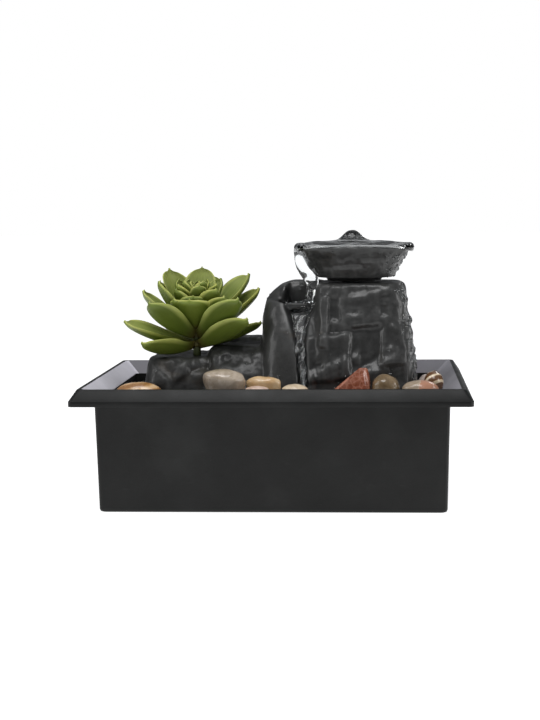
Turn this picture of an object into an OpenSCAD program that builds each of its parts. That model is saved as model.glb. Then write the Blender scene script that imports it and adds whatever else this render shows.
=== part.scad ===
// Tabletop water fountain: a basin with a wide lip, a cast rock with a catch cup, a top bowl,
// a small plant, loose pebbles, and a submersible pump under a lift-out deck.
// Millimetres, +Z up, +X to the right, front towards -Y.
// The origin is the centre of the basin's underside.

/* [Basin] */
// Width over the lip
basin_w = 210; // [200:1:230]
// Depth over the lip
basin_d = 145; // [142:1:160]
// Height of the ridge round the rim
basin_h = 66.8; // [66:0.1:70]
// Thickness of the walls and floor
wall = 2.5; // [2:0.1:3]
// Vertical rounding of the basin's corners
corner_r = 2.5; // [1:0.5:5]
// Width of the cord notch in the rear rim
notch_w = 8; // [6:1:12]

/* [Deck] */
// Half width of the support deck
deck_half_w = 87; // [84:1:88]
// Half depth of the support deck
deck_half_d = 56; // [55:0.5:57]
// Height of the deck's top face
deck_top = 56; // [54:0.5:57]
// Thickness of the deck
deck_t = 2.5; // [2:0.5:4]
// Radius of a leg
leg_r = 4; // [3:0.5:5]

/* [Rock and bowl] */
// Height of the tower's flat top
tower_top = 119.3; // [117:0.1:120]
// Height of the bowl's rim
bowl_rim = 138.4; // [137:0.1:140]
// Thickness of the bowl's wall
bowl_wall = 3.6; // [3:0.1:4]

/* [Water path] */
// Distance of the pump and riser to the right of the centre
pump_x = 41.5; // [40:0.5:43]
// Inner radius of the riser tube
riser_bore = 4.1; // [4.05:0.05:4.1]
// Outer radius of the riser tube
riser_r = 5.5; // [5.3:0.1:5.6]
// Radial gap of parts that slide on each other
slide_gap = 0.1; // [0.05:0.01:0.1]

/* [Pump] */
// Width of the pump housing
pump_w = 32; // [32:1:34]
// Height of the pump housing
pump_h = 34; // [34:1:35]
// Radius of the impeller's blades
impeller_r = 8.6; // [8:0.1:8.8]
// Number of impeller blades
blades = 6; // [4:1:8]

/* [Plant] */
// Radius of the plant's stem
stem_r = 2.2; // [2:0.1:2.3]
// Thickness of a leaf at its middle
leaf_t = 2.4; // [2:0.1:2.6]

/* [Hidden] */
$fn = 48;
floor_z = wall;
deck_under = deck_top - deck_t;
depth_step = (basin_w - basin_d) / 2;
motor_z = 23;
housing_low = 6;
housing_top = housing_low + pump_h;
housing_front = -8;
housing_back = 42;
spigot_top = 52;
stem_at = [-45.7, -5];
stem_low = 71;
heart_low = 105;
bowl_floor = 127.5;
notch_low = 61;
eps = 0.01;

// Stones: name, x, y, z of the underside, half width, half depth, height, turn, lean, squareness
STONES = [
    ["pebble_tan_flat", -72, -46, 56, 13, 7.6, 12, 6, 0, 2.6],
    ["pebble_grey_buff", -26.8, -46.5, 56.7, 11.6, 8, 18, -4, 5, 2.4],
    ["pebble_cream_bean", -5.3, -43.6, 56, 9.4, 4.6, 14.8, 2, 0, 2.6],
    ["pebble_pale_pink", -8.2, -53.4, 56, 7, 3.9, 10.8, 0, 0, 2.3],
    ["pebble_cream", 12, -49.4, 56, 7.3, 6.4, 11.3, 0, 0, 2.4],
    ["pebble_olive", 59.8, -47.6, 56, 7.6, 7.2, 16.3, 10, 0, 2.2],
    ["pebble_two_tone", 78.2, -48.4, 56, 9.9, 6.6, 13, -3, 0, 2.6],
    ["pebble_striped_brown", 86.2, -31.5, 56.5, 5.4, 7, 15.4, 0, -4, 2.3],
    ["pebble_white_pink", 82.6, -12, 56, 4.8, 7.4, 11.8, 10, 0, 2.3],
    ["pebble_right_grey", 83.4, 13.4, 56, 4.6, 6.6, 8, -10, 0, 2.2],
    ["pebble_rear_buff", 69, 45.6, 56, 9, 7.2, 10.4, 12, 0, 2.3],
    ["pebble_rear_olive", 50, 45.4, 56, 7.8, 7.4, 9.6, -8, 0, 2.2],
    ["pebble_rear_brick", 30.4, 45, 56, 8.4, 6.6, 11, 4, 0, 2.4],
    ["pebble_rear_cream", -19, 44.6, 56, 9.6, 7.8, 10.6, 6, 0, 2.4],
    ["pebble_rear_brown", -40.5, 46, 56, 8.8, 6.8, 9.4, -12, 0, 2.2],
    ["pebble_rear_pink", -62, 45.2, 56, 9.4, 7.4, 10.2, 9, 0, 2.3]
];

// ---- Shapes that several parts share ----

// Rounded rectangle at height z, as a ring of points
function rect_ring(hw, hd, r, z, n = 4) = [
    for (q = [0:3], i = [0:n])
        let (a = 90 * q + 90 * i / n, sx = q == 0 || q == 3 ? 1 : -1, sy = q < 2 ? 1 : -1)
            [sx * (hw - r) + r * cos(a), sy * (hd - r) + r * sin(a), z]
];

// Rectangle from x0 to x1 and y0 to y1 with cut corners, as a ring of points at height z
function block_ring(z, x0, x1, y0, y1, cut) = [
    [x1, y0 + cut, z], [x1, y1 - cut, z], [x1 - cut, y1, z], [x0 + cut, y1, z],
    [x0, y1 - cut, z], [x0, y0 + cut, z], [x0 + cut, y0, z], [x1 - cut, y0, z]
];

function power(v, e) = sign(v) * pow(abs(v), 2 / e);

// Squared-off oval at height z, with an optional dip of the edge round one bearing
function oval_ring(cx, cy, a, b, z, n, e = 2.6, dip = 0, bearing = 0) = [
    for (i = [0:n - 1])
        let (t = 360 * i / n, away = abs(t - bearing) / 16)
            [cx + a * power(cos(t), e), cy + b * power(sin(t), e), z - dip * exp(-away * away)]
];

// Closed skin over a stack of rings that have the same number of points
module loft(rings) {
    n = len(rings[0]);
    m = len(rings);
    polyhedron(
        points = [for (ring = rings) each ring],
        faces = concat(
            [[for (i = [0:n - 1]) i]],
            [for (k = [0:m - 2], i = [0:n - 1]) [k * n + i, (k + 1) * n + i, (k + 1) * n + (i + 1) % n]],
            [for (k = [0:m - 2], i = [0:n - 1]) [k * n + i, (k + 1) * n + (i + 1) % n, k * n + (i + 1) % n]],
            [[for (i = [n - 1:-1:0]) (m - 1) * n + i]]
        )
    );
}

// Cylinder along +Y from y0 to y1
module rod_y(r, y0, y1) {
    translate([0, y0, 0])
        rotate([-90, 0, 0])
            cylinder(r = r, h = y1 - y0);
}

// Tube along +Y from y0 to y1
module tube_y(r_out, r_in, y0, y1) {
    difference() {
        rod_y(r_out, y0, y1);
        rod_y(r_in, y0 - 1, y1 + 1);
    }
}

// Box from one corner to the other
module span(low, high) {
    translate(low)
        cube(high - low);
}

module at_motor() {
    translate([pump_x, 0, motor_z])
        children();
}

// ---- Basin ----

// Ring of the basin: half width and height; the half depth follows
function basin_ring(hw, z) = rect_ring(hw, hw - depth_step, corner_r, z);

module basin() {
    hw = basin_w / 2;
    ridge_out = hw - 4;
    ridge_in = hw - 6;
    color("#2c2c2e")
        difference() {
            loft([
                basin_ring(hw - 14.1, 0),
                basin_ring(hw - 13.1, 0.5),
                basin_ring(hw - 12.7, 1.6),
                basin_ring(hw - 11.5, 58.6),
                basin_ring(hw - 5.4, basin_h - 2.2),
                basin_ring(hw - 4.6, basin_h - 2.2),
                basin_ring(hw - 2, 60.6),
                basin_ring(hw - 2, 58.2),
                basin_ring(hw, 58.2),
                basin_ring(hw, 60.8),
                basin_ring(ridge_out, basin_h),
                basin_ring(ridge_in, basin_h),
                basin_ring(hw - 13, 60.3),
                basin_ring(hw - 13.5, 59.8),
                basin_ring(hw - 12.6 - wall + 0.5, floor_z)
            ]);
            span([-notch_w / 2, basin_d / 2 - 15, notch_low], [notch_w / 2, basin_d / 2 + 1, basin_h + 1]);
        }
}

// ---- Deck and riser ----

module deck() {
    leg_x = 76;
    leg_y = 46;
    return_slot = [22, 2.6];
    color("#242426")
        difference() {
            union() {
                translate([0, 0, deck_under])
                    linear_extrude(deck_t)
                        square([2 * deck_half_w, 2 * deck_half_d], center = true);
                for (sx = [-1, 1], sy = [-1, 1])
                    translate([sx * leg_x, sy * leg_y, floor_z])
                        cylinder(r = leg_r, h = deck_under - floor_z + eps);
            }
            translate([pump_x, 0, deck_under - 1])
                cylinder(r = riser_r, h = deck_t + 2);
            span([-deck_half_w - 1, -34, deck_under - 1], [-81, 38, deck_top + 1]);
            span([81, 24, deck_under - 1], [deck_half_w + 1, 38, deck_top + 1]);
            for (x = [-58, -30, 2])
                translate([x, 37, deck_top])
                    cube([return_slot[0], return_slot[1], 3 * deck_t], center = true);
        }
}

module riser_tube() {
    color("#c8ccd0")
        translate([pump_x, 0, 46])
            difference() {
                cylinder(r = riser_r, h = bowl_floor - 46);
                translate([0, 0, -1])
                    cylinder(r = riser_bore, h = bowl_floor - 44);
            }
}

// ---- Rock ----

module tower() {
    loft([
        block_ring(deck_top, 14, 77.5, -37, 32, 5),
        block_ring(64, 17, 76.2, -35.5, 30, 5),
        block_ring(77.6, 18, 75.9, -34, 28, 4),
        block_ring(91, 19, 75.4, -31, 27, 4),
        block_ring(103, 20, 72.5, -27, 25, 4),
        block_ring(113.6, 21, 71.5, -23, 23, 4),
        block_ring(tower_top, 23, 69, -21, 21, 4)
    ]);
}

module lobe() {
    loft([
        block_ring(deck_top, -12, 24, -38, 24, 6),
        block_ring(64.6, -10, 24, -36.5, 24, 6),
        block_ring(83.5, -8.5, 24, -29.5, 24, 5),
        block_ring(93.7, -8.5, 24, -24.5, 24, 5),
        block_ring(107.5, -8.5, 24, -15.5, 22, 4)
    ]);
    loft([
        block_ring(107, -8.5, 24, -2, 22, 4),
        block_ring(112, -4.5, 24, -1, 21, 4),
        block_ring(118.9, 4, 24, 1, 18, 4)
    ]);
}

module catch_cup() {
    loft([
        block_ring(101, 4, 18, -11, -3, 3),
        block_ring(106, 1.5, 21, -12.5, -2.2, 3),
        block_ring(120, 0, 22, -12.5, -1.2, 3)
    ]);
    loft([
        block_ring(104.6, 7, 16.5, -22, -8, 1),
        block_ring(109, 4, 20, -22, -8, 1)
    ]);
}

module ledge() {
    loft([
        block_ring(deck_top, -75, -36, -29, 32, 6),
        block_ring(61, -74.5, -36, -28, 31, 6),
        block_ring(70, -73, -36, -25.5, 29, 5),
        block_ring(78, -71, -36, -22, 27, 5)
    ]);
    loft([
        block_ring(deck_top, -40, -4, -33, 30, 5),
        block_ring(70, -39.5, -4, -28, 28, 5),
        block_ring(81, -38, -4, -21, 26, 5),
        block_ring(84.6, -34, -4, -14, 24, 5)
    ]);
}

module rock() {
    color("#2b2c2d")
        difference() {
            union() {
                tower();
                lobe();
                ledge();
            }
            catch_cup();
            translate([pump_x, 0, deck_top - 1])
                cylinder(r = riser_r, h = tower_top);
            translate([stem_at[0], stem_at[1], stem_low - 1])
                cylinder(r = stem_r + slide_gap, h = 20);
        }
}

// ---- Top bowl ----

// Ring of the bowl, drawn in by the given inset from its outer skin
function bowl_ring(z, a, b, dip = 0) = oval_ring(42.6, 0, a, b, z, 32, 2.7, dip, 208);

module top_bowl() {
    color("#2b2c2d")
        difference() {
            loft([
                bowl_ring(tower_top, 15, 13),
                bowl_ring(tower_top + 1.9, 15.6, 13.6),
                bowl_ring(tower_top + 2, 21.4, 19),
                bowl_ring(124, 23.6, 21),
                bowl_ring(130, 27, 24.4),
                bowl_ring(135, 29.8, 27),
                bowl_ring(bowl_rim - 1, 31.2, 28.2, 1),
                bowl_ring(bowl_rim, 30.6, 27.6, 1.4),
                bowl_ring(bowl_rim, 29.4, 26.4, 1.4),
                bowl_ring(bowl_rim - 2, 31.2 - bowl_wall, 28.2 - bowl_wall),
                bowl_ring(131, 23.4, 21),
                bowl_ring(bowl_floor, 19, 17)
            ]);
            translate([pump_x, 0, tower_top - 1])
                cylinder(r = riser_r + slide_gap, h = 20);
        }
}

module outlet_nozzle() {
    flange_r = 7.5;
    flange_h = 2.2;
    spigot_h = 6;
    jet_r = 2.2;
    color("#1d1d1f")
        translate([pump_x, 0, bowl_floor])
            difference() {
                union() {
                    cylinder(r = flange_r, h = flange_h);
                    translate([0, 0, -spigot_h])
                        cylinder(r = riser_bore - slide_gap, h = spigot_h + 1);
                }
                translate([0, 0, -spigot_h - 1])
                    cylinder(r = jet_r, h = spigot_h + flange_h + 2);
            }
}

// ---- Plant ----

// Point on a leaf's midline: reach outward and rise, for t from 0 at the base to 1 at the tip
function leaf_line(t, length, low, high) = let (a = low + (high - low) * t / 2)
    [length * t * cos(a), length * t * sin(a)];

// Half width of a leaf at t, full at two thirds and pointed at the tip
function leaf_half(t, width) = width / 2 * (0.42 + 0.58 * sin(100 * t)) * pow(1 - pow(t, 5), 0.6);

// Leaf of eight-sided sections, cupped upward, that grows from the stem at the given height
module leaf(base_z, bearing, length, width, low, high) {
    steps = 5;
    start = stem_r + 0.6;
    tip = 0.97;
    translate([stem_at[0], stem_at[1], base_z])
        rotate([0, 0, bearing])
            rotate([90, 0, 90])
                loft([
                    for (k = [0:steps])
                        let (
                            t = tip * k / steps,
                            p = leaf_line(t, length, low, high),
                            w = leaf_half(t, width),
                            thick = leaf_t / 2 * (1 - 0.7 * t * t)
                        )
                            [for (i = [0:7])
                                let (u = cos(45 * i), v = sin(45 * i))
                                    [w * u, p[1] + thick * v + 0.16 * w * u * u, start + p[0]]]
                ]);
}

// Hub that threads on the stem, with its leaves: bearing, length, width, low angle, high angle
module whorl(z, leaves) {
    hub_r = stem_r + 2;
    hub_h = 3.2;
    difference() {
        union() {
            translate([stem_at[0], stem_at[1], z - hub_h / 2])
                cylinder(r = hub_r, h = hub_h);
            for (l = leaves)
                leaf(z, l[0], l[1], l[2], l[3], l[4]);
        }
        translate([stem_at[0], stem_at[1], z - 10])
            cylinder(r = stem_r, h = 30);
    }
}

module plant_stem() {
    color("#5d6b34")
        translate([stem_at[0], stem_at[1], stem_low])
            cylinder(r = stem_r, h = heart_low + 3 - stem_low);
}

module leaves_outer() {
    color("#6f8144")
        whorl(84.6, [
            [187, 41, 18, 4, 34],
            [227, 37, 18, -6, 16],
            [278, 34, 17, 2, 30],
            [327, 38, 17, 10, 42],
            [8, 36, 17, 6, 34],
            [66, 36, 18, 8, 40],
            [128, 37, 18, 8, 40]
        ]);
}

module leaves_lower() {
    color("#78894a")
        whorl(90, [
            [203, 37, 18, 18, 52],
            [243, 37, 20, 18, 52],
            [302, 35, 19, 18, 54],
            [350, 37, 18, 22, 56],
            [38, 37, 18, 22, 56],
            [96, 35, 18, 22, 56],
            [154, 38, 18, 22, 54]
        ]);
}

module leaves_middle() {
    color("#80904e")
        whorl(95.4, [
            [180, 35, 17, 36, 68],
            [222, 32, 17, 36, 70],
            [276, 30, 19, 34, 66],
            [328, 33, 18, 36, 70],
            [18, 36, 17, 34, 64],
            [72, 33, 16, 36, 70],
            [126, 34, 16, 36, 70]
        ]);
}

module leaves_upper() {
    color("#8a9a56")
        whorl(100.6, [
            [152, 30, 14, 52, 82],
            [208, 27, 14, 54, 84],
            [262, 24, 14, 54, 84],
            [320, 26, 14, 54, 84],
            [22, 31, 14, 50, 78],
            [86, 27, 13, 54, 84]
        ]);
}

// Tight bud of three lobes that twist as they rise, with a socket for the stem
module leaf_heart() {
    bud = [[0, 2.9], [3, 3.5], [8, 4.1], [13, 4.3], [17, 3.4], [20, 1.9], [21.6, 0.7]];
    color("#9caa62")
        translate([stem_at[0], stem_at[1], heart_low])
            difference() {
                loft([
                    for (layer = bud)
                        [for (i = [0:17])
                            let (t = 20 * i, r = layer[1] * (1 + 0.14 * cos(3 * t + 5 * layer[0])))
                                [r * cos(t), r * sin(t), layer[0]]]
                ]);
                translate([0, 0, -1])
                    cylinder(r = stem_r, h = 4);
            }
}

// ---- Pump ----

// Rounded rectangle standing from z0 to z1
module upright_block(w, y0, y1, z0, z1, r) {
    translate([0, 0, z0])
        linear_extrude(z1 - z0)
            union() {
                translate([-w / 2 + r, y0])
                    square([w - 2 * r, y1 - y0]);
                translate([-w / 2, y0 + r])
                    square([w, y1 - y0 - 2 * r]);
                for (x = [-w / 2 + r, w / 2 - r], y = [y0 + r, y1 - r])
                    translate([x, y])
                        circle(r = r);
            }
}

// Places of the four rear screws, from the motor axis
SCREWS = [for (sx = [-1, 1], sz = [-1, 1]) [13.9 * sx, 14.8 * sz]];

// Places of the suction cups, from the riser
CUPS = [for (sx = [-1, 1], y = [-3, 35]) [10.5 * sx, y]];

well_r = 6.6;
sleeve_r = 8;
sleeve_end = 30;
cover_recess_r = 10.9;

module pump_housing() {
    chamber_r = 9.5;
    color("#303236")
        difference() {
            union() {
                difference() {
                    translate([pump_x, 0, 0])
                        upright_block(pump_w, housing_front, housing_back, housing_low, housing_top, 3);
                    at_motor()
                        span([-13, 7, -13.5], [13, housing_back + 1, 13.5]);
                }
                at_motor()
                    rod_y(sleeve_r, 6, sleeve_end);
                translate([pump_x, 0, housing_top - 1])
                    cylinder(r = riser_bore - slide_gap, h = spigot_top - housing_top + 1);
            }
            at_motor() {
                rod_y(chamber_r, housing_front - 1, 4);
                rod_y(cover_recess_r, housing_front - 1, -4.4);
                rod_y(well_r, 3, 26);
                rod_y(3, 25, 28);
                for (p = SCREWS)
                    translate([p[0], 0, p[1]])
                        rod_y(0.8, 34, housing_back + 1);
            }
            translate([pump_x, 0, motor_z])
                cylinder(r = 2.6, h = spigot_top);
            for (p = CUPS)
                translate([pump_x + p[0], p[1], housing_low - 1])
                    cylinder(r = 1.5, h = 3);
        }
}

module pump_rear_cover() {
    back = 44.5;
    color("#303236")
        difference() {
            at_motor()
                span([-pump_w / 2 + 0.5, housing_back, -16.5], [pump_w / 2 - 0.5, back, 16.5]);
            at_motor() {
                rod_y(3, housing_back - 1, back + 1);
                for (p = SCREWS)
                    translate([p[0], 0, p[1]])
                        rod_y(0.8, housing_back - 1, back + 1);
            }
        }
}

module cover_screws() {
    color("silver")
        at_motor()
            for (p = SCREWS)
                translate([p[0], 0, p[1]]) {
                    rod_y(0.8, 34, 45);
                    rod_y(1.5, 44.5, 45.7);
                }
}

module cable_gland() {
    color("#1b1b1c")
        at_motor()
            difference() {
                union() {
                    rod_y(3, housing_back, 51);
                    rod_y(4.5, 44.5, 46.5);
                }
                rod_y(1.9, housing_back + 2, 52);
            }
}

module suction_cups() {
    color("#3a3a3c")
        for (p = CUPS)
            translate([pump_x + p[0], p[1], floor_z]) {
                cylinder(r1 = 4.6, r2 = 2.6, h = housing_low - floor_z);
                cylinder(r = 1.5, h = housing_low - floor_z + 2);
            }
}

// U-shaped iron core: two legs with pole shoes round the sleeve, and a yoke behind it
module stator_core() {
    yoke_y = [34, 38];
    color("#7c7f84")
        at_motor()
            difference() {
                union() {
                    for (side = [-1, 1]) {
                        span([min(side * 9, side * 12.8), 9, -8], [max(side * 9, side * 12.8), yoke_y[1], 8]);
                        span([min(side * 3, side * 9), 9, -8], [max(side * 3, side * 9), 28, 8]);
                    }
                    span([-10, yoke_y[0], -8], [10, yoke_y[1], 8]);
                }
                rod_y(sleeve_r + 0.1, 5, 29);
            }
}

module stator_coil() {
    color("#b3703a")
        at_motor()
            difference() {
                span([-8.4, 30.6, -12], [8.4, 41.4, 12]);
                span([-9, 34, -8], [9, 38, 8]);
            }
}

module rotor_magnet() {
    color("#3c3d40")
        at_motor()
            tube_y(6.1, 1, 4.5, 24);
}

module impeller() {
    color("#d9dde0")
        at_motor()
            difference() {
                union() {
                    rod_y(3, -4, 4.5);
                    rod_y(impeller_r, 2, 3);
                    for (k = [0:blades - 1])
                        rotate([0, 360 / blades * k, 0])
                            span([2, -4, -0.5], [impeller_r - 0.2, 2.2, 0.5]);
                }
                rod_y(1, -5, 6);
            }
}

module rotor_shaft() {
    color("#e6e6e2")
        at_motor()
            rod_y(1, -7.2, 27.4);
}

module front_bush() {
    color("#c9c2b0")
        at_motor()
            tube_y(2.2, 1.05, housing_front, -5.2);
}

module rear_bush() {
    color("#c9c2b0")
        at_motor()
            tube_y(3, 1.05, 25, 28);
}

module chamber_cover() {
    color("#303236")
        at_motor()
            difference() {
                rod_y(cover_recess_r, housing_front, -5.6);
                rod_y(2.2, housing_front - 1, -5);
                for (k = [0:5])
                    rotate([0, 60 * k, 0])
                        translate([5.2, 0, 0])
                            rod_y(1.7, housing_front - 1, -5);
            }
}

module chamber_seal() {
    color("#a33b2c")
        at_motor()
            translate([0, -5, 0])
                rotate([90, 0, 0])
                    rotate_extrude()
                        translate([10.2, 0])
                            circle(r = 0.6);
}

slider_y = [-18.5, -17.1];

module intake_cover() {
    front = -17;
    color("#303236")
        at_motor()
            difference() {
                union() {
                    span([-14, front, -15], [14, housing_front, 15]);
                    for (side = [-1, 1])
                        mirror([0, 0, side < 0 ? 1 : 0])
                            span([-13, front - 1.6, 6.3], [13, front, 7.8]);
                }
                span([-12, front + 2, -13], [12, housing_front + 1, 13]);
                for (x = [-9:3:9])
                    span([x - 0.75, front - 1, -5], [x + 0.75, front + 3, 5]);
                for (x = [-9:3:9], z = [-11, 9])
                    span([x - 0.75, front - 1, z], [x + 0.75, front + 3, z + 2]);
            }
}

module flow_slider() {
    color("#4a4d52")
        at_motor() {
            span([-12, slider_y[0], -6], [6, slider_y[1], 6]);
            span([-4, slider_y[0] - 1.4, -4], [-2.6, slider_y[0], 4]);
        }
}

// ---- Pebbles ----

// Smooth stone of stacked ovals on a small flat underside
module pebble(s) {
    layers = [0.16, 0.5, 0.78, 0.95, 1, 0.94, 0.76, 0.48, 0.16];
    color(["#b98b5a", "#a39a8a", "#cdb791", "#7d7358"][floor(s[4] * 10) % 4])
        translate([s[1], s[2], s[3]])
            rotate([0, s[8], s[7]])
                loft([
                    for (k = [0:len(layers) - 1])
                        let (
                            rise = s[6] / 2 * (1 - cos(20 + 140 * k / (len(layers) - 1)) / cos(20)),
                            grow = sin(20 + 140 * k / (len(layers) - 1))
                        )
                            oval_ring(0, 0, s[4] * grow, s[5] * grow, rise, 16, s[9])
                ]);
}

// Wedge-shaped stone whose peak leans to the right
module pebble_brick_wedge() {
    color("#8c4a33")
        translate([41.2, -47.2, deck_top])
            loft([
                oval_ring(-1.6, 0, 10.4, 5, 0, 16),
                oval_ring(-1.6, 0, 12.4, 6.6, 3.6, 16),
                oval_ring(-0.6, 0, 11.4, 6.8, 8, 16),
                oval_ring(2.2, 0, 8, 6, 12.6, 16),
                oval_ring(4.6, 0, 5, 4.4, 17, 16),
                oval_ring(6.4, 0, 2.2, 2.2, 20, 16)
            ]);
}

basin();
deck();
riser_tube();
rock();
top_bowl();
outlet_nozzle();
plant_stem();
leaves_outer();
leaves_lower();
leaves_middle();
leaves_upper();
leaf_heart();
pump_housing();
pump_rear_cover();
cover_screws();
cable_gland();
suction_cups();
stator_core();
stator_coil();
rotor_magnet();
impeller();
rotor_shaft();
front_bush();
rear_bush();
chamber_cover();
chamber_seal();
intake_cover();
flow_slider();
pebble_brick_wedge();
for (stone = STONES)
    pebble(stone);
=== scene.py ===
"""Tabletop water fountain: the looks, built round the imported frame.

Every length in a class below is in millimetres unless its name says otherwise, in the frame of the
fountain: +X to the right, +Y to the back, +Z up, and the origin at the centre of the basin's
underside. Meshes are written in metres.
"""
import logging
import math
from dataclasses import dataclass
from enum import Enum
from typing import Callable, Iterable, Sequence

import bmesh
import bpy
import numpy as np
from mathutils import Matrix, Vector, noise
from mathutils.bvhtree import BVHTree


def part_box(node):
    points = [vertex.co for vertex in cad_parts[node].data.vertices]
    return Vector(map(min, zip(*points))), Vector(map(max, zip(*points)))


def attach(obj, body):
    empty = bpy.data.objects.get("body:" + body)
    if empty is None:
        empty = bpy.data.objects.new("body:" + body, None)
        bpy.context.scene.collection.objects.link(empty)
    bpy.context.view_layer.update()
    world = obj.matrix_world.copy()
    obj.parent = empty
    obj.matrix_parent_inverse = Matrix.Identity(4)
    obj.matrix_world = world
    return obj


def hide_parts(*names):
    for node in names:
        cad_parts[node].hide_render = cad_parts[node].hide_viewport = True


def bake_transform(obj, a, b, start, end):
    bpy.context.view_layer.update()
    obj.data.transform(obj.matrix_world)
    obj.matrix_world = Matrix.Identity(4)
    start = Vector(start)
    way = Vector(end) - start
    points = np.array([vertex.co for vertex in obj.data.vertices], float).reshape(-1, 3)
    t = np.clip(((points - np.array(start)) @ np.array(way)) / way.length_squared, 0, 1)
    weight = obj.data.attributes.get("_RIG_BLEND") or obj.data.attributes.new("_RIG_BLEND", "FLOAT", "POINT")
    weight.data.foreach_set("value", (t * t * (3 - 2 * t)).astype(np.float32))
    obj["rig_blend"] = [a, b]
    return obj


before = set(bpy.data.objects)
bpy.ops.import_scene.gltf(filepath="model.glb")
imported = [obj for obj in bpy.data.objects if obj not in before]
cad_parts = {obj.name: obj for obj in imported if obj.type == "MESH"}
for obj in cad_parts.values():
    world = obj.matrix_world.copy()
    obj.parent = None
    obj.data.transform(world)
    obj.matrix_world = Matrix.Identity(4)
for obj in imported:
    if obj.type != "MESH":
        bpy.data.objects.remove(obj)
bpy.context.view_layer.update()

MM = 0.001
LOG = logging.getLogger("fountain")
Pair = tuple[float, float]
Rgb = tuple[float, float, float]
Point = tuple[float, float, float]
Array = np.ndarray
Piece = bpy.types.Object
Material = bpy.types.Material
NodeTree = bpy.types.NodeTree
Socket = bpy.types.NodeSocket
Feed = Socket | float | Rgb


# ---------------------------------------------------------------- small mesh tools


def low_high(node: str) -> tuple[Array, Array]:
    """Gives a CAD node's box.

    Args:
        node: The node's name.

    Returns:
        Its lowest and highest corner in millimetres.
    """
    low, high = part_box(node)
    return np.array(low) / MM, np.array(high) / MM


def new_piece(name: str, points: Array, faces: Iterable[Sequence[int]]) -> Piece:
    """Makes a smooth-shaded mesh piece.

    Args:
        name: The piece's name.
        points: Vertices in millimetres, one row each.
        faces: Vertex numbers of each face, in order round it.

    Returns:
        The new object, at the origin.
    """
    mesh = bpy.data.meshes.new(name)
    mesh.from_pydata((np.asarray(points) * MM).tolist(), [], [tuple(map(int, f)) for f in faces])
    mesh.shade_smooth()
    piece = bpy.data.objects.new(name, mesh)
    bpy.context.scene.collection.objects.link(piece)
    return piece


def merged_copy(node: str, name: str) -> Piece:
    """Copies a CAD node's mesh into a new piece with its doubles merged.

    Args:
        node: The CAD node to copy.
        name: The new piece's name.

    Returns:
        The new object.
    """
    work = bmesh.new()
    work.from_mesh(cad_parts[node].data)
    bmesh.ops.remove_doubles(work, verts=work.verts, dist=0.002 * MM)
    mesh = bpy.data.meshes.new(name)
    work.to_mesh(mesh)
    work.free()
    piece = bpy.data.objects.new(name, mesh)
    bpy.context.scene.collection.objects.link(piece)
    return piece


def settle(piece: Piece) -> None:
    """Turns a piece's modifiers into plain mesh and removes them.

    Args:
        piece: The piece.
    """
    graph = bpy.context.evaluated_depsgraph_get()
    graph.update()
    mesh = bpy.data.meshes.new_from_object(piece.evaluated_get(graph))
    old = piece.data
    piece.modifiers.clear()
    piece.data = mesh
    mesh.name = piece.name
    if old.users == 0:
        bpy.data.meshes.remove(old)


def begin_tree(name: str, inputs: dict[str, str]) -> NodeTree:
    """Starts a Geometry Nodes tree that gives out a mesh.

    Args:
        name: The tree's name.
        inputs: The kind of each input, by its name.

    Returns:
        The tree.
    """
    tree = bpy.data.node_groups.new(name, "GeometryNodeTree")
    tree.interface.new_socket("Geometry", in_out="OUTPUT", socket_type="NodeSocketGeometry")
    for label, kind in inputs.items():
        tree.interface.new_socket(label, in_out="INPUT", socket_type="NodeSocket" + kind)
    return tree


def end_tree(tree: NodeTree, copies: bpy.types.Node, given: bpy.types.Node) -> None:
    """Ends a tree: makes its copies real and gives them the Finish input.

    Args:
        tree: The tree.
        copies: The node that sets out the copies.
        given: The tree's input node.
    """
    new, link = tree.nodes.new, tree.links.new
    real, dress = new("GeometryNodeRealizeInstances"), new("GeometryNodeSetMaterial")
    link(copies.outputs[0], real.inputs[0])
    link(real.outputs[0], dress.inputs["Geometry"])
    link(given.outputs["Finish"], dress.inputs["Material"])
    link(dress.outputs[0], new("NodeGroupOutput").inputs[0])


def run_tree(piece: Piece, tree: NodeTree, values: dict[str, object]) -> None:
    """Runs a tree on a piece and keeps the result as plain mesh.

    Args:
        piece: The piece.
        tree: The tree.
        values: The inputs' values, by name.
    """
    made = piece.modifiers.new(tree.name, "NODES")
    made.node_group = tree
    for item in tree.interface.items_tree:
        if item.item_type == "SOCKET" and item.in_out == "INPUT" and item.name in values:
            made[item.identifier] = values[item.name]
    settle(piece)


def voxel_union(piece: Piece, voxel: float) -> None:
    """Rebuilds a piece's overlapping shells as one closed skin.

    Args:
        piece: The piece to rebuild.
        voxel: Edge of a voxel in millimetres.
    """
    remesh = piece.modifiers.new("skin", "REMESH")
    remesh.mode = "VOXEL"
    remesh.voxel_size = voxel * MM
    remesh.use_smooth_shade = True
    settle(piece)


def points_of(piece: Piece) -> Array:
    """Gives a piece's vertices in millimetres, one row each.

    Args:
        piece: The piece.

    Returns:
        The vertices.
    """
    flat = np.empty(len(piece.data.vertices) * 3)
    piece.data.vertices.foreach_get("co", flat)
    return flat.reshape(-1, 3) / MM


def move_points(piece: Piece, points: Array) -> None:
    """Writes a piece's vertices back.

    Args:
        piece: The piece.
        points: Vertices in millimetres, one row each.
    """
    piece.data.vertices.foreach_set("co", (points * MM).ravel())
    piece.data.update()


def normals_of(piece: Piece) -> Array:
    """Gives a piece's vertex normals, one row each.

    Args:
        piece: The piece.

    Returns:
        The normals.
    """
    flat = np.empty(len(piece.data.vertices) * 3)
    piece.data.vertex_normals.foreach_get("vector", flat)
    return flat.reshape(-1, 3)


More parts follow.
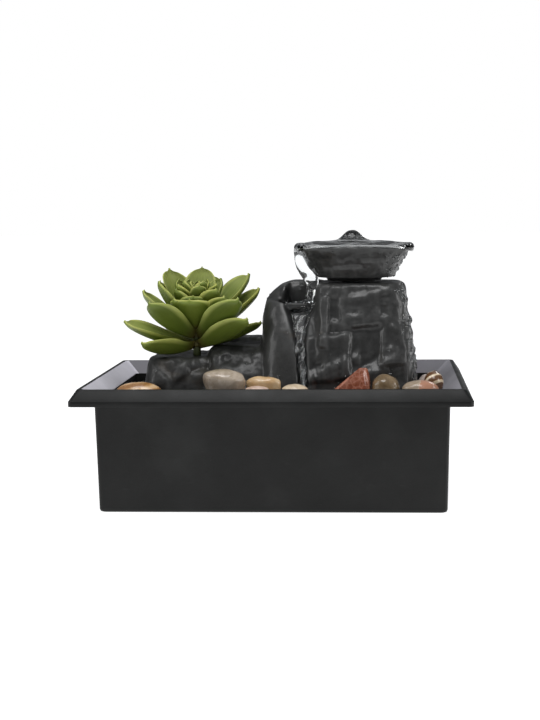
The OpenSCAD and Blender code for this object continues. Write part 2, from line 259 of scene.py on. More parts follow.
def relax(piece: Piece, rounds: int, share: float = 0.5) -> Array:
    """Averages each vertex with its neighbours.

    Args:
        piece: The piece whose edges say which vertices are neighbours.
        rounds: How many times to average.
        share: How far a vertex moves towards its neighbours' mean each time.

    Returns:
        The relaxed vertices in millimetres. The piece itself isn't changed.
    """
    mesh = piece.data
    ends = np.empty(len(mesh.edges) * 2, dtype=np.int64)
    mesh.edges.foreach_get("vertices", ends)
    first, second = ends.reshape(-1, 2).T
    count = np.bincount(ends, minlength=len(mesh.vertices)).astype(float)[:, None]
    points = points_of(piece)
    for _ in range(rounds):
        total = np.zeros_like(points)
        for axis in range(3):
            total[:, axis] = np.bincount(first, points[second, axis], len(points))
            total[:, axis] += np.bincount(second, points[first, axis], len(points))
        points = points + share * (total / np.maximum(count, 1) - points)
    return points


def paint(piece: Piece, name: str, values: Array, domain: str = "POINT") -> None:
    """Stores one number per vertex, or per face, under a name.

    Args:
        piece: The piece to mark.
        name: The attribute's name.
        values: The numbers.
        domain: POINT for vertices, FACE for faces.
    """
    store = piece.data.attributes.new(name, "FLOAT", domain)
    store.data.foreach_set("value", np.asarray(values, dtype=np.float32))


def ramp01(value: Array, low: float, high: float) -> Array:
    """Rises smoothly from 0 at low to 1 at high."""
    t = np.clip((value - low) / (high - low), 0.0, 1.0)
    return t * t * (3.0 - 2.0 * t)


def wobble(points: Array, scale: float, seed: int, octaves: int = 3) -> Array:
    """Samples smooth noise at each point.

    Args:
        points: Positions in millimetres, one row each.
        scale: Wavelength in millimetres.
        seed: Which noise field to read.
        octaves: How many finer layers to add.

    Returns:
        One value of about -1 to 1 per point.
    """
    shift = Vector((seed * 7.31, seed * 3.17, seed * 5.77))
    return np.array([noise.fractal(Vector(p / scale) + shift, 0.9, 2.1, octaves) for p in points])


def lofted(name: str, rings: Sequence[Array]) -> Piece:
    """Makes a closed skin over a stack of rings with the same number of points.

    Args:
        name: The piece's name.
        rings: Arrays of points in millimetres.

    Returns:
        The new object, with its normals pointing outward.
    """
    n, m = len(rings[0]), len(rings)
    caps = np.array([rings[0].mean(axis=0), rings[-1].mean(axis=0)])
    points = np.vstack([*rings, caps])
    faces = [
        (k * n + i, k * n + (i + 1) % n, (k + 1) * n + (i + 1) % n, (k + 1) * n + i)
        for k in range(m - 1)
        for i in range(n)
    ]
    faces += [(m * n, (i + 1) % n, i) for i in range(n)]
    faces += [(m * n + 1, (m - 1) * n + i, (m - 1) * n + (i + 1) % n) for i in range(n)]
    piece = new_piece(name, points, faces)
    outward(piece)
    return piece


def outward(piece: Piece) -> None:
    """Turns a closed piece's faces to point outward.

    Args:
        piece: The piece.
    """
    work = bmesh.new()
    work.from_mesh(piece.data)
    bmesh.ops.remove_doubles(work, verts=work.verts, dist=0.0005 * MM)
    bmesh.ops.recalc_face_normals(work, faces=work.faces)
    work.to_mesh(piece.data)
    work.free()
    piece.data.shade_smooth()


def joined(name: str, pieces: Sequence[Piece]) -> Piece:
    """Joins pieces into one new piece and removes them.

    Args:
        name: The new piece's name.
        pieces: Objects at the origin.

    Returns:
        The joined object, with their float attributes kept.
    """
    points, faces, layers, start = [], [], {}, 0
    names = sorted({a.name for p in pieces for a in p.data.attributes if a.data_type == "FLOAT"})
    for piece in pieces:
        co = points_of(piece)
        points.append(co)
        faces += [tuple(start + v for v in f.vertices) for f in piece.data.polygons]
        for layer in names:
            values = np.zeros(len(co), dtype=np.float32)
            if layer in piece.data.attributes:
                piece.data.attributes[layer].data.foreach_get("value", values)
            layers.setdefault(layer, []).append(values)
        start += len(co)
    whole = new_piece(name, np.vstack(points), faces)
    for layer, values in layers.items():
        paint(whole, layer, np.concatenate(values))
    for piece in pieces:
        mesh = piece.data
        bpy.data.objects.remove(piece)
        bpy.data.meshes.remove(mesh)
    return whole


def soften(piece: Piece, width: float, segments: int = 3, angle: float = 28.0) -> None:
    """Rounds a piece's sharp edges and keeps its flats flat.

    Args:
        piece: A piece with merged doubles.
        width: Width of the rounding in millimetres.
        segments: Steps across the rounding.
        angle: Smallest angle in degrees that counts as an edge.
    """
    bevel = piece.modifiers.new("edges", "BEVEL")
    bevel.width = width * MM
    bevel.segments = segments
    bevel.limit_method = "ANGLE"
    bevel.angle_limit = math.radians(angle)
    bevel.harden_normals = True
    piece.data.shade_smooth()


def finish_piece(
    piece: Piece, body: str, slot: str, look: Material, *stands_for: str
) -> None:
    """Dresses a new piece and ties it to the frame.

    Args:
        piece: The piece, at the origin.
        body: The CAD body it rides on.
        slot: The record's material slot; not used.
        look: Its material.
        stands_for: CAD nodes that it replaces.
    """
    piece.data.materials.clear()
    piece.data.materials.append(look)
    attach(piece, body)
    if stands_for:
        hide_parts(*stands_for)
    LOG.info("%s: %d faces on %s", piece.name, len(piece.data.polygons), body)


def dress_node(node: str, look: Material, width: float = 0.25) -> None:
    """Gives a CAD node its finish and softly rounded edges.

    Args:
        node: The CAD node's name.
        look: Its material.
        width: Width of the edge rounding in millimetres, or 0 for none.
    """
    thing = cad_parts[node]
    thing.data.materials.clear()
    thing.data.materials.append(look)
    if width:
        weld = thing.modifiers.new("weld", "WELD")
        weld.merge_threshold = 0.002 * MM
        bevel = thing.modifiers.new("edges", "BEVEL")
        bevel.width = width * MM
        bevel.segments = 2
        bevel.limit_method = "ANGLE"
        bevel.angle_limit = math.radians(35)
    LOG.info("%s: CAD node dressed in %s", node, look.name)


# ---------------------------------------------------------------- material building


class Graph:
    """Builder for one material's node tree.

    A value may be a number, a colour or another node's socket.
    """

    def __init__(self, name: str) -> None:
        """Starts a material with a Principled shader.

        Args:
            name: The material's name.
        """
        self.material = bpy.data.materials.new(name)
        self.material.use_nodes = True
        self.tree = self.material.node_tree
        self.tree.nodes.clear()
        self.shader = self.tree.nodes.new("ShaderNodeBsdfPrincipled")
        end = self.tree.nodes.new("ShaderNodeOutputMaterial")
        self.tree.links.new(self.shader.outputs[0], end.inputs[0])
        self.coords = self.tree.nodes.new("ShaderNodeTexCoord").outputs["Object"]

    def feed(self, socket: Socket, value: Feed | str | Sequence[float]) -> None:
        """Sets a socket, or links it when the value is a socket.

        Args:
            socket: The input.
            value: The value or socket it gets.
        """
        if isinstance(value, Socket):
            self.tree.links.new(value, socket)
        elif isinstance(value, tuple) and len(value) == 3 and socket.type == "RGBA":
            socket.default_value = (*value, 1.0)
        else:
            socket.default_value = value

    def node(self, kind: str, **values: Feed | str | bool) -> bpy.types.Node:
        """Adds a node.

        Args:
            kind: The node's class name.
            values: Properties of the node, or inputs by name with underscores for spaces.

        Returns:
            The new node.
        """
        made = self.tree.nodes.new(kind)
        for key, value in values.items():
            if key in made.bl_rna.properties:
                setattr(made, key, value)
        for key, value in values.items():
            if key not in made.bl_rna.properties:
                self.feed(made.inputs[key.replace("_", " ")], value)
        return made

    def noise(
        self,
        scale: float,
        detail: float = 3.0,
        rough: float = 0.55,
        at: Socket | None = None,
        warp: float = 0.0,
    ) -> Socket:
        """Adds noise.

        Args:
            scale: Frequency per metre.
            detail: Number of finer layers.
            rough: Weight of the finer layers.
            at: Coordinates, or None for the object's own.
            warp: How much it is distorted.

        Returns:
            Its value.
        """
        made = self.node("ShaderNodeTexNoise", Scale=scale, Detail=detail, Roughness=rough, Distortion=warp)
        self.feed(made.inputs["Vector"], self.coords if at is None else at)
        return made.outputs["Fac"]

    def cells(self, scale: float, at: Socket | None = None, feature: str = "F1") -> Socket:
        """Adds a cell pattern.

        Args:
            scale: Frequency per metre.
            at: Coordinates, or None for the object's own.
            feature: What is measured, as Blender names it.

        Returns:
            The distance.
        """
        made = self.node("ShaderNodeTexVoronoi", feature=feature, Scale=scale)
        self.feed(made.inputs["Vector"], self.coords if at is None else at)
        return made.outputs["Distance"]

    def bands(
        self, scale: float, warp: float, at: Socket | None = None, direction: str = "X", detail: float = 2.0
    ) -> Socket:
        """Adds warped parallel bands.

        Args:
            scale: Frequency of the bands.
            warp: How much they wander.
            at: Coordinates, or None for the object's own.
            direction: Axis across the bands.
            detail: Layers of the wandering.

        Returns:
            Their value.
        """
        made = self.node(
            "ShaderNodeTexWave", bands_direction=direction, Scale=scale, Distortion=warp,
            Detail=detail, Detail_Scale=1.4, Detail_Roughness=0.5,
        )
        self.feed(made.inputs["Vector"], self.coords if at is None else at)
        return made.outputs["Fac"]

    def turned(
        self, angles: Point, scale: Point = (1.0, 1.0, 1.0), centre: Point = (0.0, 0.0, 0.0)
    ) -> Socket:
        """Turns the object's own coordinates.

        Args:
            angles: Turns about each axis in degrees.
            scale: Stretch along each axis.
            centre: Point in metres that is moved to the origin first.

        Returns:
            The new coordinates.
        """
        moved = self.node("ShaderNodeMapping", vector_type="POINT")
        self.feed(moved.inputs["Vector"], self.coords)
        moved.inputs["Location"].default_value = [-c for c in centre]
        made = self.node("ShaderNodeMapping", vector_type="POINT")
        self.feed(made.inputs["Vector"], moved.outputs[0])
        made.inputs["Rotation"].default_value = [math.radians(a) for a in angles]
        made.inputs["Scale"].default_value = scale
        return made.outputs[0]

    def attribute(self, name: str) -> Socket:
        """Returns a named attribute of the mesh as a number."""
        return self.node("ShaderNodeAttribute", attribute_name=name).outputs["Fac"]

    def axis(self, name: str, vector: Socket | None = None) -> Socket:
        """Splits off one coordinate.

        Args:
            name: X, Y or Z.
            vector: The coordinates, or None for the object's own.

        Returns:
            That coordinate.
        """
        split = self.node("ShaderNodeSeparateXYZ")
        self.feed(split.inputs[0], self.coords if vector is None else vector)
        return split.outputs[name]

    def vector(self, x: Feed = 0.0, y: Feed = 0.0, z: Feed = 0.0) -> Socket:
        """Joins three values.

        Args:
            x: First value.
            y: Second value.
            z: Third value.

        Returns:
            The vector.
        """
        made = self.node("ShaderNodeCombineXYZ")
        for socket, value in zip(made.inputs, (x, y, z)):
            self.feed(socket, value)
        return made.outputs[0]

    def math(self, operation: str, first: Feed, second: Feed = 0.5, third: Feed = 0.5) -> Socket:
        """Does one math operation.

        Args:
            operation: As Blender names it.
            first: First value.
            second: Second value.
            third: Third value, where the operation has one.

        Returns:
            The result.
        """
        made = self.node("ShaderNodeMath", operation=operation)
        for socket, value in zip(made.inputs, (first, second, third)):
            self.feed(socket, value)
        return made.outputs[0]

    def fit(
        self,
        value: Feed,
        low: float,
        high: float,
        to_low: float = 0.0,
        to_high: float = 1.0,
        smooth: bool = False,
    ) -> Socket:
        """Maps a value from one range to another and clamps it.

        Args:
            value: The value.
            low: Start of its range.
            high: End of its range.
            to_low: Result at the start.
            to_high: Result at the end.
            smooth: Whether it eases in and out.

        Returns:
            The mapped value.
        """
        made = self.node("ShaderNodeMapRange", interpolation_type="SMOOTHSTEP" if smooth else "LINEAR")
        limits = {"From Min": low, "From Max": high, "To Min": to_low, "To Max": to_high}
        for name, number in limits.items():
            made.inputs[name].default_value = number
        self.feed(made.inputs["Value"], value)
        return made.outputs[0]

    def ramp(self, factor: Feed, stops: Sequence[tuple[float, Rgb]]) -> Socket:
        """Picks a colour along a ramp.

        Args:
            factor: Place on the ramp, 0 to 1.
            stops: Place and colour of each stop.

        Returns:
            The colour.
        """
        made = self.node("ShaderNodeValToRGB")
        marks = made.color_ramp.elements
        while len(marks) < len(stops):
            marks.new(0.5)
        for mark, (place, colour) in zip(marks, stops):
            mark.position = place
            mark.color = (*colour, 1.0)
        self.feed(made.inputs[0], factor)
        return made.outputs["Color"]

    def blend(self, factor: Feed, first: Feed, second: Feed, mode: str = "MIX") -> Socket:
        """Mixes two colours.

        Args:
            factor: Share of the second colour.
            first: First colour.
            second: Second colour.
            mode: How they mix, as Blender names it.

        Returns:
            The colour.
        """
        made = self.node("ShaderNodeMix", data_type="RGBA", blend_type=mode)
        for place, value in zip((0, 6, 7), (factor, first, second)):
            self.feed(made.inputs[place], value)
        return made.outputs[2]

    def bump(
        self, height: Socket, depth: float, strength: float = 1.0, under: Socket | None = None
    ) -> Socket:
        """Bends the normal by a height.

        Args:
            height: The height, 0 to 1.
            depth: Its full range in millimetres.
            strength: Share of the effect.
            under: A normal that is already bent, or None.

        Returns:
            The normal.
        """
        made = self.node("ShaderNodeBump", Strength=strength, Distance=depth * MM)
        self.feed(made.inputs["Height"], height)
        if under is not None:
            self.feed(made.inputs["Normal"], under)
        return made.outputs[0]

    def done(self, **inputs: Feed) -> Material:
        """Sets the shader's inputs.

        Args:
            inputs: Values by name, with underscores for spaces.

        Returns:
            The material.
        """
        for key, value in inputs.items():
            self.feed(self.shader.inputs[key.replace("_", " ")], value)
        return self.material


@dataclass(frozen=True)
class MouldedPlastic:
    """Moulded plastic with a fine grain, faint flow clouds, scuffs and a few light specks.

    Where the piece's painted sheen attribute rises toward 1, the plastic is painted pale: a painted
    highlight.
    """

    name: str
    colour: Rgb
    roughness: float = 0.42
    grain: float = 0.03
    scuffs: float = 0.35
    coat: float = 0.0
    gloss: float = 0.5
    # Strength of the painted sheen, a painted highlight on the slopes that its attribute marks.
    haze: float = 0.0

    def material(self) -> Material:
        """Builds the finish.

        Returns:
            The material.
        """
        g = Graph(self.name)
        clouds = g.noise(28.0, 4.0)
        dark = tuple(c * 0.66 for c in self.colour)
        light = tuple(c * 1.6 + 0.003 for c in self.colour)
        colour = g.ramp(clouds, [(0.3, dark), (0.55, self.colour), (0.78, light)])
        scratch = g.noise(60.0, 5.0, 0.7, at=g.turned((0, 0, 31), (1.0, 14.0, 3.0)))
        worn = g.fit(scratch, 0.62, 0.8, 0.0, self.scuffs, smooth=True)
        dust = g.fit(g.cells(900.0), 0.0, 0.09, 0.5, 0.0)
        colour = g.blend(worn, colour, tuple(min(1.0, c * 2.1 + 0.012) for c in self.colour))
        dusty = g.math("MULTIPLY", dust, g.fit(g.noise(90.0), 0.55, 0.75))
        colour = g.blend(dusty, colour, (0.2, 0.2, 0.2))
        # Painted sheen: where the attribute read below rises, the colour is lifted toward pale lavender as a
        # painted highlight.
        if self.haze:
            sheen_clouds = g.fit(clouds, 0.2, 0.7, self.haze * 0.8, self.haze)
            film = g.math("MULTIPLY", g.attribute("haze"), sheen_clouds)
            colour = g.blend(film, colour, (0.80, 0.78, 0.86))
        rough = g.fit(g.noise(45.0, 5.0, 0.6), 0.25, 0.8, self.roughness - 0.08, self.roughness + 0.12)
        skin = g.bump(g.noise(2600.0, 2.0), self.grain)
        skin = g.bump(scratch, 0.03, 0.4, under=skin)
        return g.done(
            Base_Color=colour, Roughness=rough, Normal=skin, Specular_IOR_Level=self.gloss,
            Coat_Weight=self.coat, Coat_Roughness=0.12,
        )


@dataclass(frozen=True)
class WetRock:
    """Dark cast resin under a film of water: painted highlights on raised edges, painted shade in hollows,
    fine pores.
    """

    name: str
    # deep is painted shade, used in the hollows and the pores; face is the resin's own colour; edge is a
    # painted highlight for raised edges.
    deep: Rgb = (0.0065, 0.0066, 0.0065)
    face: Rgb = (0.0195, 0.0197, 0.0192)
    edge: Rgb = (0.066, 0.067, 0.066)
    brown: Rgb = (0.052, 0.038, 0.022)
    wetness: float = 0.35

    def material(self) -> Material:
        """Builds the finish. It reads the piece's raised attribute, 0 in a hollow to 1 on an edge, and
        paints shade in the hollows and highlights on the edges.

        Returns:
            The material.
        """
        g = Graph(self.name)
        raised = g.attribute("raised")
        clouds = g.noise(70.0, 5.0, 0.6)
        mixed = g.math("ADD", raised, g.math("MULTIPLY_ADD", clouds, 0.4, -0.2))
        # The ramp paints shade in the hollows and highlights on the raised edges.
        colour = g.ramp(mixed, [(0.2, self.deep), (0.5, self.face), (0.86, self.edge)])
        stain = g.fit(g.noise(38.0, 4.0, 0.6, warp=0.6), 0.6, 0.74, 0.0, 0.4, smooth=True)
        colour = g.blend(stain, colour, self.brown)
        pores = g.fit(g.cells(420.0), 0.05, 0.3, 0.0, 1.0)
        colour = g.blend(g.fit(pores, 0.0, 1.0, 0.35, 0.0), colour, self.deep)
        film = g.noise(55.0, 4.0, 0.6, warp=0.8)
        rough = g.fit(film, 0.35, 0.66, 0.42, 0.66, smooth=True)
        coat = g.fit(film, 0.35, 0.7, self.wetness * 1.4, self.wetness * 0.5)
        coat = g.math("MULTIPLY", coat, g.fit(g.axis("X"), -0.014, 0.004, 0.5, 1.0))
        skin = g.bump(g.noise(240.0, 6.0, 0.62), 0.3, 0.5)
        skin = g.bump(pores, 0.12, 0.35, under=skin)
        wet = g.bump(g.noise(130.0, 3.0, 0.5, warp=0.4), 0.35, 0.4)
        return g.done(
            Base_Color=colour, Roughness=rough, Normal=skin, Specular_IOR_Level=0.3,
            Coat_Weight=coat, Coat_Roughness=0.2, Coat_Normal=wet,
        )


@dataclass(frozen=True)
class Water:
    """Clear moving water with a fine ripple. A tint below 1 greys it, painted shade; froth adds whitish
    streaks, partly froth and partly painted highlight.
    """

    name: str
    ripple: float = 0.12
    wavelength: float = 4.0
    # Whitish streaks where the water lets less light through: partly froth, partly painted highlight.
    froth_and_glint: float = 0.0
    # Below 1 it greys the water: painted shade.
    shade_tint: float = 1.0

    def material(self) -> Material:
        """Builds the finish.

        Returns:
            The material.
        """
        g = Graph(self.name)
        swell = g.noise(1000.0 / self.wavelength, 3.0, 0.5, warp=0.5)
        fine = g.noise(3600.0 / self.wavelength, 2.0)
        skin = g.bump(fine, self.ripple * 0.3, 0.5, under=g.bump(swell, self.ripple))
        # The colour is scaled by the tint: painted shade when below 1.
        deep = tuple(c * self.shade_tint for c in (0.93, 0.965, 0.975))
        light = tuple(c * self.shade_tint for c in (0.985, 0.995, 1.0))
        shade_tint = g.ramp(swell, [(0.2, deep), (0.8, light)])
        rough = g.fit(swell, 0.3, 0.8, 0.0, 0.03)
        # Streaks where transmission drops and the pale base colour shows: partly froth, partly painted
        # highlight.
        streak = g.noise(2000.0 / self.wavelength, 3.0, 0.6, at=g.turned((0, 0, 0), (1.0, 1.0, 0.3)))
        clear = g.fit(streak, 0.5, 0.66, 1.0, 1.0 - self.froth_and_glint, smooth=True)
        return g.done(
            Base_Color=shade_tint, Roughness=rough, Normal=skin, IOR=1.333, Transmission_Weight=clear
        )


@dataclass(frozen=True)
class LeafSkin:
    """Soft green plastic leaf: pale rim, a back darkened as painted shade, reddish foot, fine lengthwise
    streaks.

    It reads the attributes along (0 at the foot to 1 at the tip), across (0 on the midrib to 1 at
    the rim), under (1 on the back) and shade (a number of its own for each leaf).
    """

    name: str
    body: Rgb = (0.165, 0.215, 0.036)
    pale: Rgb = (0.34, 0.385, 0.115)
    rim: Rgb = (0.50, 0.53, 0.15)
    # back is painted shade: a darker copy of the green for the leaf's underside.
    back: Rgb = (0.112, 0.152, 0.019)
    foot: Rgb = (0.10, 0.065, 0.02)

    def material(self) -> Material:
        """Builds the finish.

        Returns:
            The material.
        """
        g = Graph(self.name)
        along, across = g.attribute("along"), g.attribute("across")
        under, shade = g.attribute("under"), g.attribute("shade")
        streak_at = g.vector(g.math("MULTIPLY", along, 2.2), g.math("MULTIPLY", across, 17.0), shade)
        streaks = g.noise(1.0, 4.0, 0.6, at=streak_at)
        clouds = g.noise(120.0, 4.0, 0.6)
        top = g.ramp(along, [(0.0, self.foot), (0.2, self.body), (0.62, self.body), (1.0, self.pale)])
        top = g.blend(g.fit(streaks, 0.35, 0.75, 0.0, 0.5), top, self.pale)
        # The underside gets the darker colour: painted shade.
        back = g.ramp(along, [(0.0, self.foot), (0.25, self.back), (0.8, self.back), (1.0, self.body)])
        back = g.blend(g.fit(streaks, 0.4, 0.8, 0.0, 0.35), back, self.body)
        colour = g.blend(under, top, back)
        edge = g.math("MULTIPLY", g.fit(across, 0.8, 0.98, smooth=True), g.fit(along, 0.12, 0.5))
        colour = g.blend(g.math("MULTIPLY", edge, 0.75), colour, self.rim)
        colour = g.blend(g.fit(clouds, 0.5, 0.8, 0.0, 0.35), colour, self.body)
        tone = g.ramp(shade, [(0.0, (0.8, 0.84, 0.8)), (0.5, (1.0, 1.0, 1.0)), (1.0, (1.16, 1.12, 1.0))])
        colour = g.blend(1.0, colour, tone, "MULTIPLY")
        rough = g.fit(clouds, 0.3, 0.75, 0.38, 0.56)
        skin = g.bump(g.noise(1500.0, 3.0), 0.05, 0.5, under=g.bump(streaks, 0.16, 0.6))
        return g.done(
            Base_Color=colour, Roughness=rough, Normal=skin,
            Subsurface_Weight=0.06, Subsurface_Radius=(0.4, 0.6, 0.2), Subsurface_Scale=0.002,
            Specular_IOR_Level=0.3,
        )


class StonePattern(Enum):
    """How a polished pebble is marked."""

    PLAIN = "plain"
    BANDED = "banded"
    TWO_TONE = "two_tone"
    STRIPED = "striped"
    JASPER = "jasper"


@dataclass(frozen=True)
class PolishedStone:
    """Wet polished pebble with its own colours, marks, speckles and small pits."""

    name: str
    dark: Rgb
    middle: Rgb
    light: Rgb
    pattern: StonePattern = StonePattern.PLAIN
    turn: Point = (0.0, 0.0, 0.0)
    mark: float = 120.0
    speckle: float = 0.35
    centre: Point = (0.0, 0.0, 0.0)

    def marks(self, g: Graph) -> Socket:
        """Draws the stone's marks.

        Args:
            g: The material's builder.

        Returns:
            The factor that picks its colour.
        """
        at = g.turned(self.turn, centre=tuple(c * MM for c in self.centre))
        soft = g.noise(self.mark, 5.0, 0.6, at=at, warp=0.7)
        if self.pattern is StonePattern.BANDED:
            bands = g.bands(self.mark * 0.5, 3.2, at=at, direction="Z")
            return g.math("MULTIPLY_ADD", bands, 0.6, g.math("MULTIPLY", soft, 0.4))
        if self.pattern is StonePattern.STRIPED:
            bands = g.bands(self.mark, 1.6, at=at, direction="Z", detail=1.0)
            return g.fit(bands, 0.55, 0.9, 0.1, 0.95, smooth=True)
        if self.pattern is StonePattern.TWO_TONE:
            rough_edge = g.math("MULTIPLY_ADD", soft, 0.9, 0.02)
            side = g.math("MULTIPLY_ADD", g.axis("X", at), 170.0, rough_edge)
            return g.fit(side, 0.2, 0.75, smooth=True)
        if self.pattern is StonePattern.JASPER:
            cracks = g.cells(self.mark * 1.3, at=at, feature="DISTANCE_TO_EDGE")
            veins = g.fit(cracks, 0.0, 0.12, 0.25, 0.0)
            return g.math("ADD", soft, veins)
        return soft

    def material(self) -> Material:
        """Builds the finish.

        Returns:
            The material.
        """
        g = Graph(self.name)
        marks = self.marks(g)
        colour = g.ramp(marks, [(0.25, self.dark), (0.5, self.middle), (0.76, self.light)])
        grains = g.cells(900.0)
        patches = g.fit(g.noise(170.0), 0.4, 0.7)
        fleck = g.math("MULTIPLY", g.fit(grains, 0.0, 0.22, self.speckle, 0.0), patches)
        colour = g.blend(fleck, colour, tuple(c * 0.3 for c in self.dark))
        glint = g.math("MULTIPLY", g.fit(g.cells(1300.0), 0.0, 0.18, self.speckle * 0.7, 0.0), 0.7)
        colour = g.blend(glint, colour, tuple(min(1.0, c * 1.3) for c in self.light))
        pits = g.fit(g.noise(620.0, 4.0, 0.6), 0.3, 0.45)
        rough = g.fit(g.noise(150.0, 4.0), 0.3, 0.75, 0.16, 0.36)
        skin = g.bump(pits, 0.08, 0.4, under=g.bump(g.noise(260.0, 4.0), 0.18, 0.45))
        return g.done(
            Base_Color=colour, Roughness=rough, Normal=skin, Coat_Weight=0.35, Coat_Roughness=0.08
        )


class MetalKind(Enum):
    """Marks on a metal part."""

    LAMINATED = "laminated"
    TURNED = "turned"


@dataclass(frozen=True)
class Metal:
    """Bare or varnished metal with fine machining lines."""

    name: str
    colour: Rgb
    kind: MetalKind
    roughness: float = 0.34

    def material(self) -> Material:
        """Builds the finish.

        Returns:
            The material.
        """
        g = Graph(self.name)
        direction = "Z" if self.kind is MetalKind.LAMINATED else "Y"
        lines = g.bands(320.0 if self.kind is MetalKind.LAMINATED else 900.0, 0.3, direction=direction)
        tarnish = g.noise(160.0, 5.0, 0.65)
        dark = tuple(c * 0.5 for c in self.colour)
        colour = g.blend(g.fit(tarnish, 0.35, 0.75, 0.0, 0.7), self.colour, dark)
        colour = g.blend(g.fit(lines, 0.0, 0.3, 0.5, 0.0), colour, dark)
        rough = g.fit(tarnish, 0.3, 0.8, self.roughness - 0.1, self.roughness + 0.2)
        skin = g.bump(lines, 0.05, 0.7)
        return g.done(Base_Color=colour, Roughness=rough, Normal=skin, Metallic=1.0)


@dataclass(frozen=True)
class Ceramic:
    """Ground or sintered ceramic with faint lines and specks."""

    name: str
    colour: Rgb
    roughness: float = 0.3

    def material(self) -> Material:
        """Builds the finish.

        Returns:
            The material.
        """
        g = Graph(self.name)
        specks = g.fit(g.cells(1500.0), 0.0, 0.2, 0.4, 0.0)
        clouds = g.noise(200.0, 4.0)
        colour = g.ramp(clouds, [(0.3, tuple(c * 0.8 for c in self.colour)), (0.7, self.colour)])
        colour = g.blend(specks, colour, tuple(c * 0.45 for c in self.colour))
        rough = g.fit(clouds, 0.3, 0.75, self.roughness - 0.08, self.roughness + 0.15)
        return g.done(Base_Color=colour, Roughness=rough, Normal=g.bump(g.noise(1800.0, 3.0), 0.04, 0.6))


@dataclass(frozen=True)
class ClearTube:
    """Clear soft tube, slightly clouded."""

    name: str

    def material(self) -> Material:
        """Builds the finish.

        Returns:
            The material.
        """
        g = Graph(self.name)
        clouds = g.noise(90.0, 4.0)
        colour = g.ramp(clouds, [(0.3, (0.72, 0.78, 0.8)), (0.7, (0.88, 0.92, 0.93))])
        rough = g.fit(clouds, 0.3, 0.8, 0.08, 0.22)
        skin = g.bump(g.noise(700.0, 3.0), 0.05, 0.5)
        return g.done(
            Base_Color=colour, Roughness=rough, Normal=skin, IOR=1.45, Transmission_Weight=0.85
        )


# ---------------------------------------------------------------- basin, deck and pump


@dataclass
class Basin:
    """The moulded tray with its flared, mitred rim, and the water that stands in it."""

    edge_round: float = 0.45
    water_level: float = 50.0
    water_inset: float = 0.2
    # Strength of the painted sheen on each inner slope, by the way it faces: a painted highlight.
    sheen_left: float = 0.8
    sheen_right: float = 0.36
    sheen_ends: float = 0.24
    cells_across: int = 96

    def build(self) -> None:
        """Builds the tray and its water."""
        plastic = MouldedPlastic(
            "basin_charcoal", (0.0068, 0.0072, 0.0070),
            roughness=0.42, grain=0.06, scuffs=0.3, gloss=0.22, haze=1.0,
        )
        tray = merged_copy("basin", "basin_tray")
        # Marks the inner slopes for the painted sheen, a painted highlight.
        paint(tray, "haze", self.painted_sheen_on(tray), "FACE")
        soften(tray, self.edge_round, 3, 14.0)
        finish_piece(tray, "basin", "basin_plastic", plastic.material(), "basin")
        water = self.standing_water()
        rippled = Water("basin_water", ripple=0.25, wavelength=9.0)
        finish_piece(water, "basin", "basin_plastic", rippled.material())

    def painted_sheen_on(self, tray: Piece) -> Array:
        """Gives the painted sheen on the rim's inner slopes, strongest on the left one: a painted highlight
        set by the way each slope faces.

        Args:
            tray: The tray.

        Returns:
            One value per face.
        """
        at = np.array([face.center for face in tray.data.polygons])
        facing = np.array([face.normal for face in tray.data.polygons])
        inward = (at * facing)[:, :2].sum(axis=1) < -0.003
        level, upright, wall_top = 0.97, 0.25, 0.05
        slope = (facing[:, 2] > upright) & (facing[:, 2] < level) & inward & (at[:, 2] > wall_top)
        rightward, leftward = facing[:, 0] > 0.2, facing[:, 0] < -0.2
        share = np.where(rightward, self.sheen_left, np.where(leftward, self.sheen_right, self.sheen_ends))
        return np.where(slope, share, 0.0)

    def standing_water(self) -> Piece:
        """Makes the basin's body of water, with a rippled top.

        Returns:
            The new object.
        """
        low, high = low_high("deck")
        half_x, half_y = high[0] + 3.2, high[1] + 1.7
        nx, ny = self.cells_across, int(self.cells_across * 0.68)
        xs, ys = np.linspace(-half_x, half_x, nx + 1), np.linspace(-half_y, half_y, ny + 1)
        gx, gy = np.meshgrid(xs, ys)
        gx, gy = gx.ravel(), gy.ravel()
        flat = np.column_stack([gx, gy, np.zeros_like(gx)])
        top = flat.copy()
        top[:, 2] = self.water_level + 0.35 * wobble(flat, 14.0, 3) + 0.12 * wobble(flat, 5.0, 5, 2)
        bottom = flat.copy()
        bottom[:, 2] = low[2] + self.water_inset
        points = np.vstack([top, bottom])
        n, size = nx + 1, len(flat)
        quads = [
            (j * n + i, j * n + i + 1, (j + 1) * n + i + 1, (j + 1) * n + i)
            for j in range(ny)
            for i in range(nx)
        ]
        rim = [i for i in range(nx)] + [j * n + nx for j in range(ny)]
        rim += [ny * n + i for i in range(nx, 0, -1)] + [j * n for j in range(ny, 0, -1)]
        faces = quads + [tuple(size + v for v in reversed(q)) for q in quads]
        faces += [(a, size + a, size + b, b) for a, b in zip(rim, rim[1:] + rim[:1])]
        water = new_piece("basin_water", points, faces)
        outward(water)
        return water


@dataclass
class Deck:
    """The support deck, its legs and the riser tube."""

    edge_round: float = 0.5

    def build(self) -> None:
        """Dresses the deck and the riser."""
        plastic = MouldedPlastic("deck_black", (0.012, 0.012, 0.013), roughness=0.3, grain=0.05, coat=0.6)
        plate = merged_copy("deck", "support_deck")
        soften(plate, self.edge_round, 2, 30.0)
        finish_piece(plate, "deck", "deck_plastic", plastic.material(), "deck")
        dress_node("riser_tube", ClearTube("riser_clear").material(), 0.2)


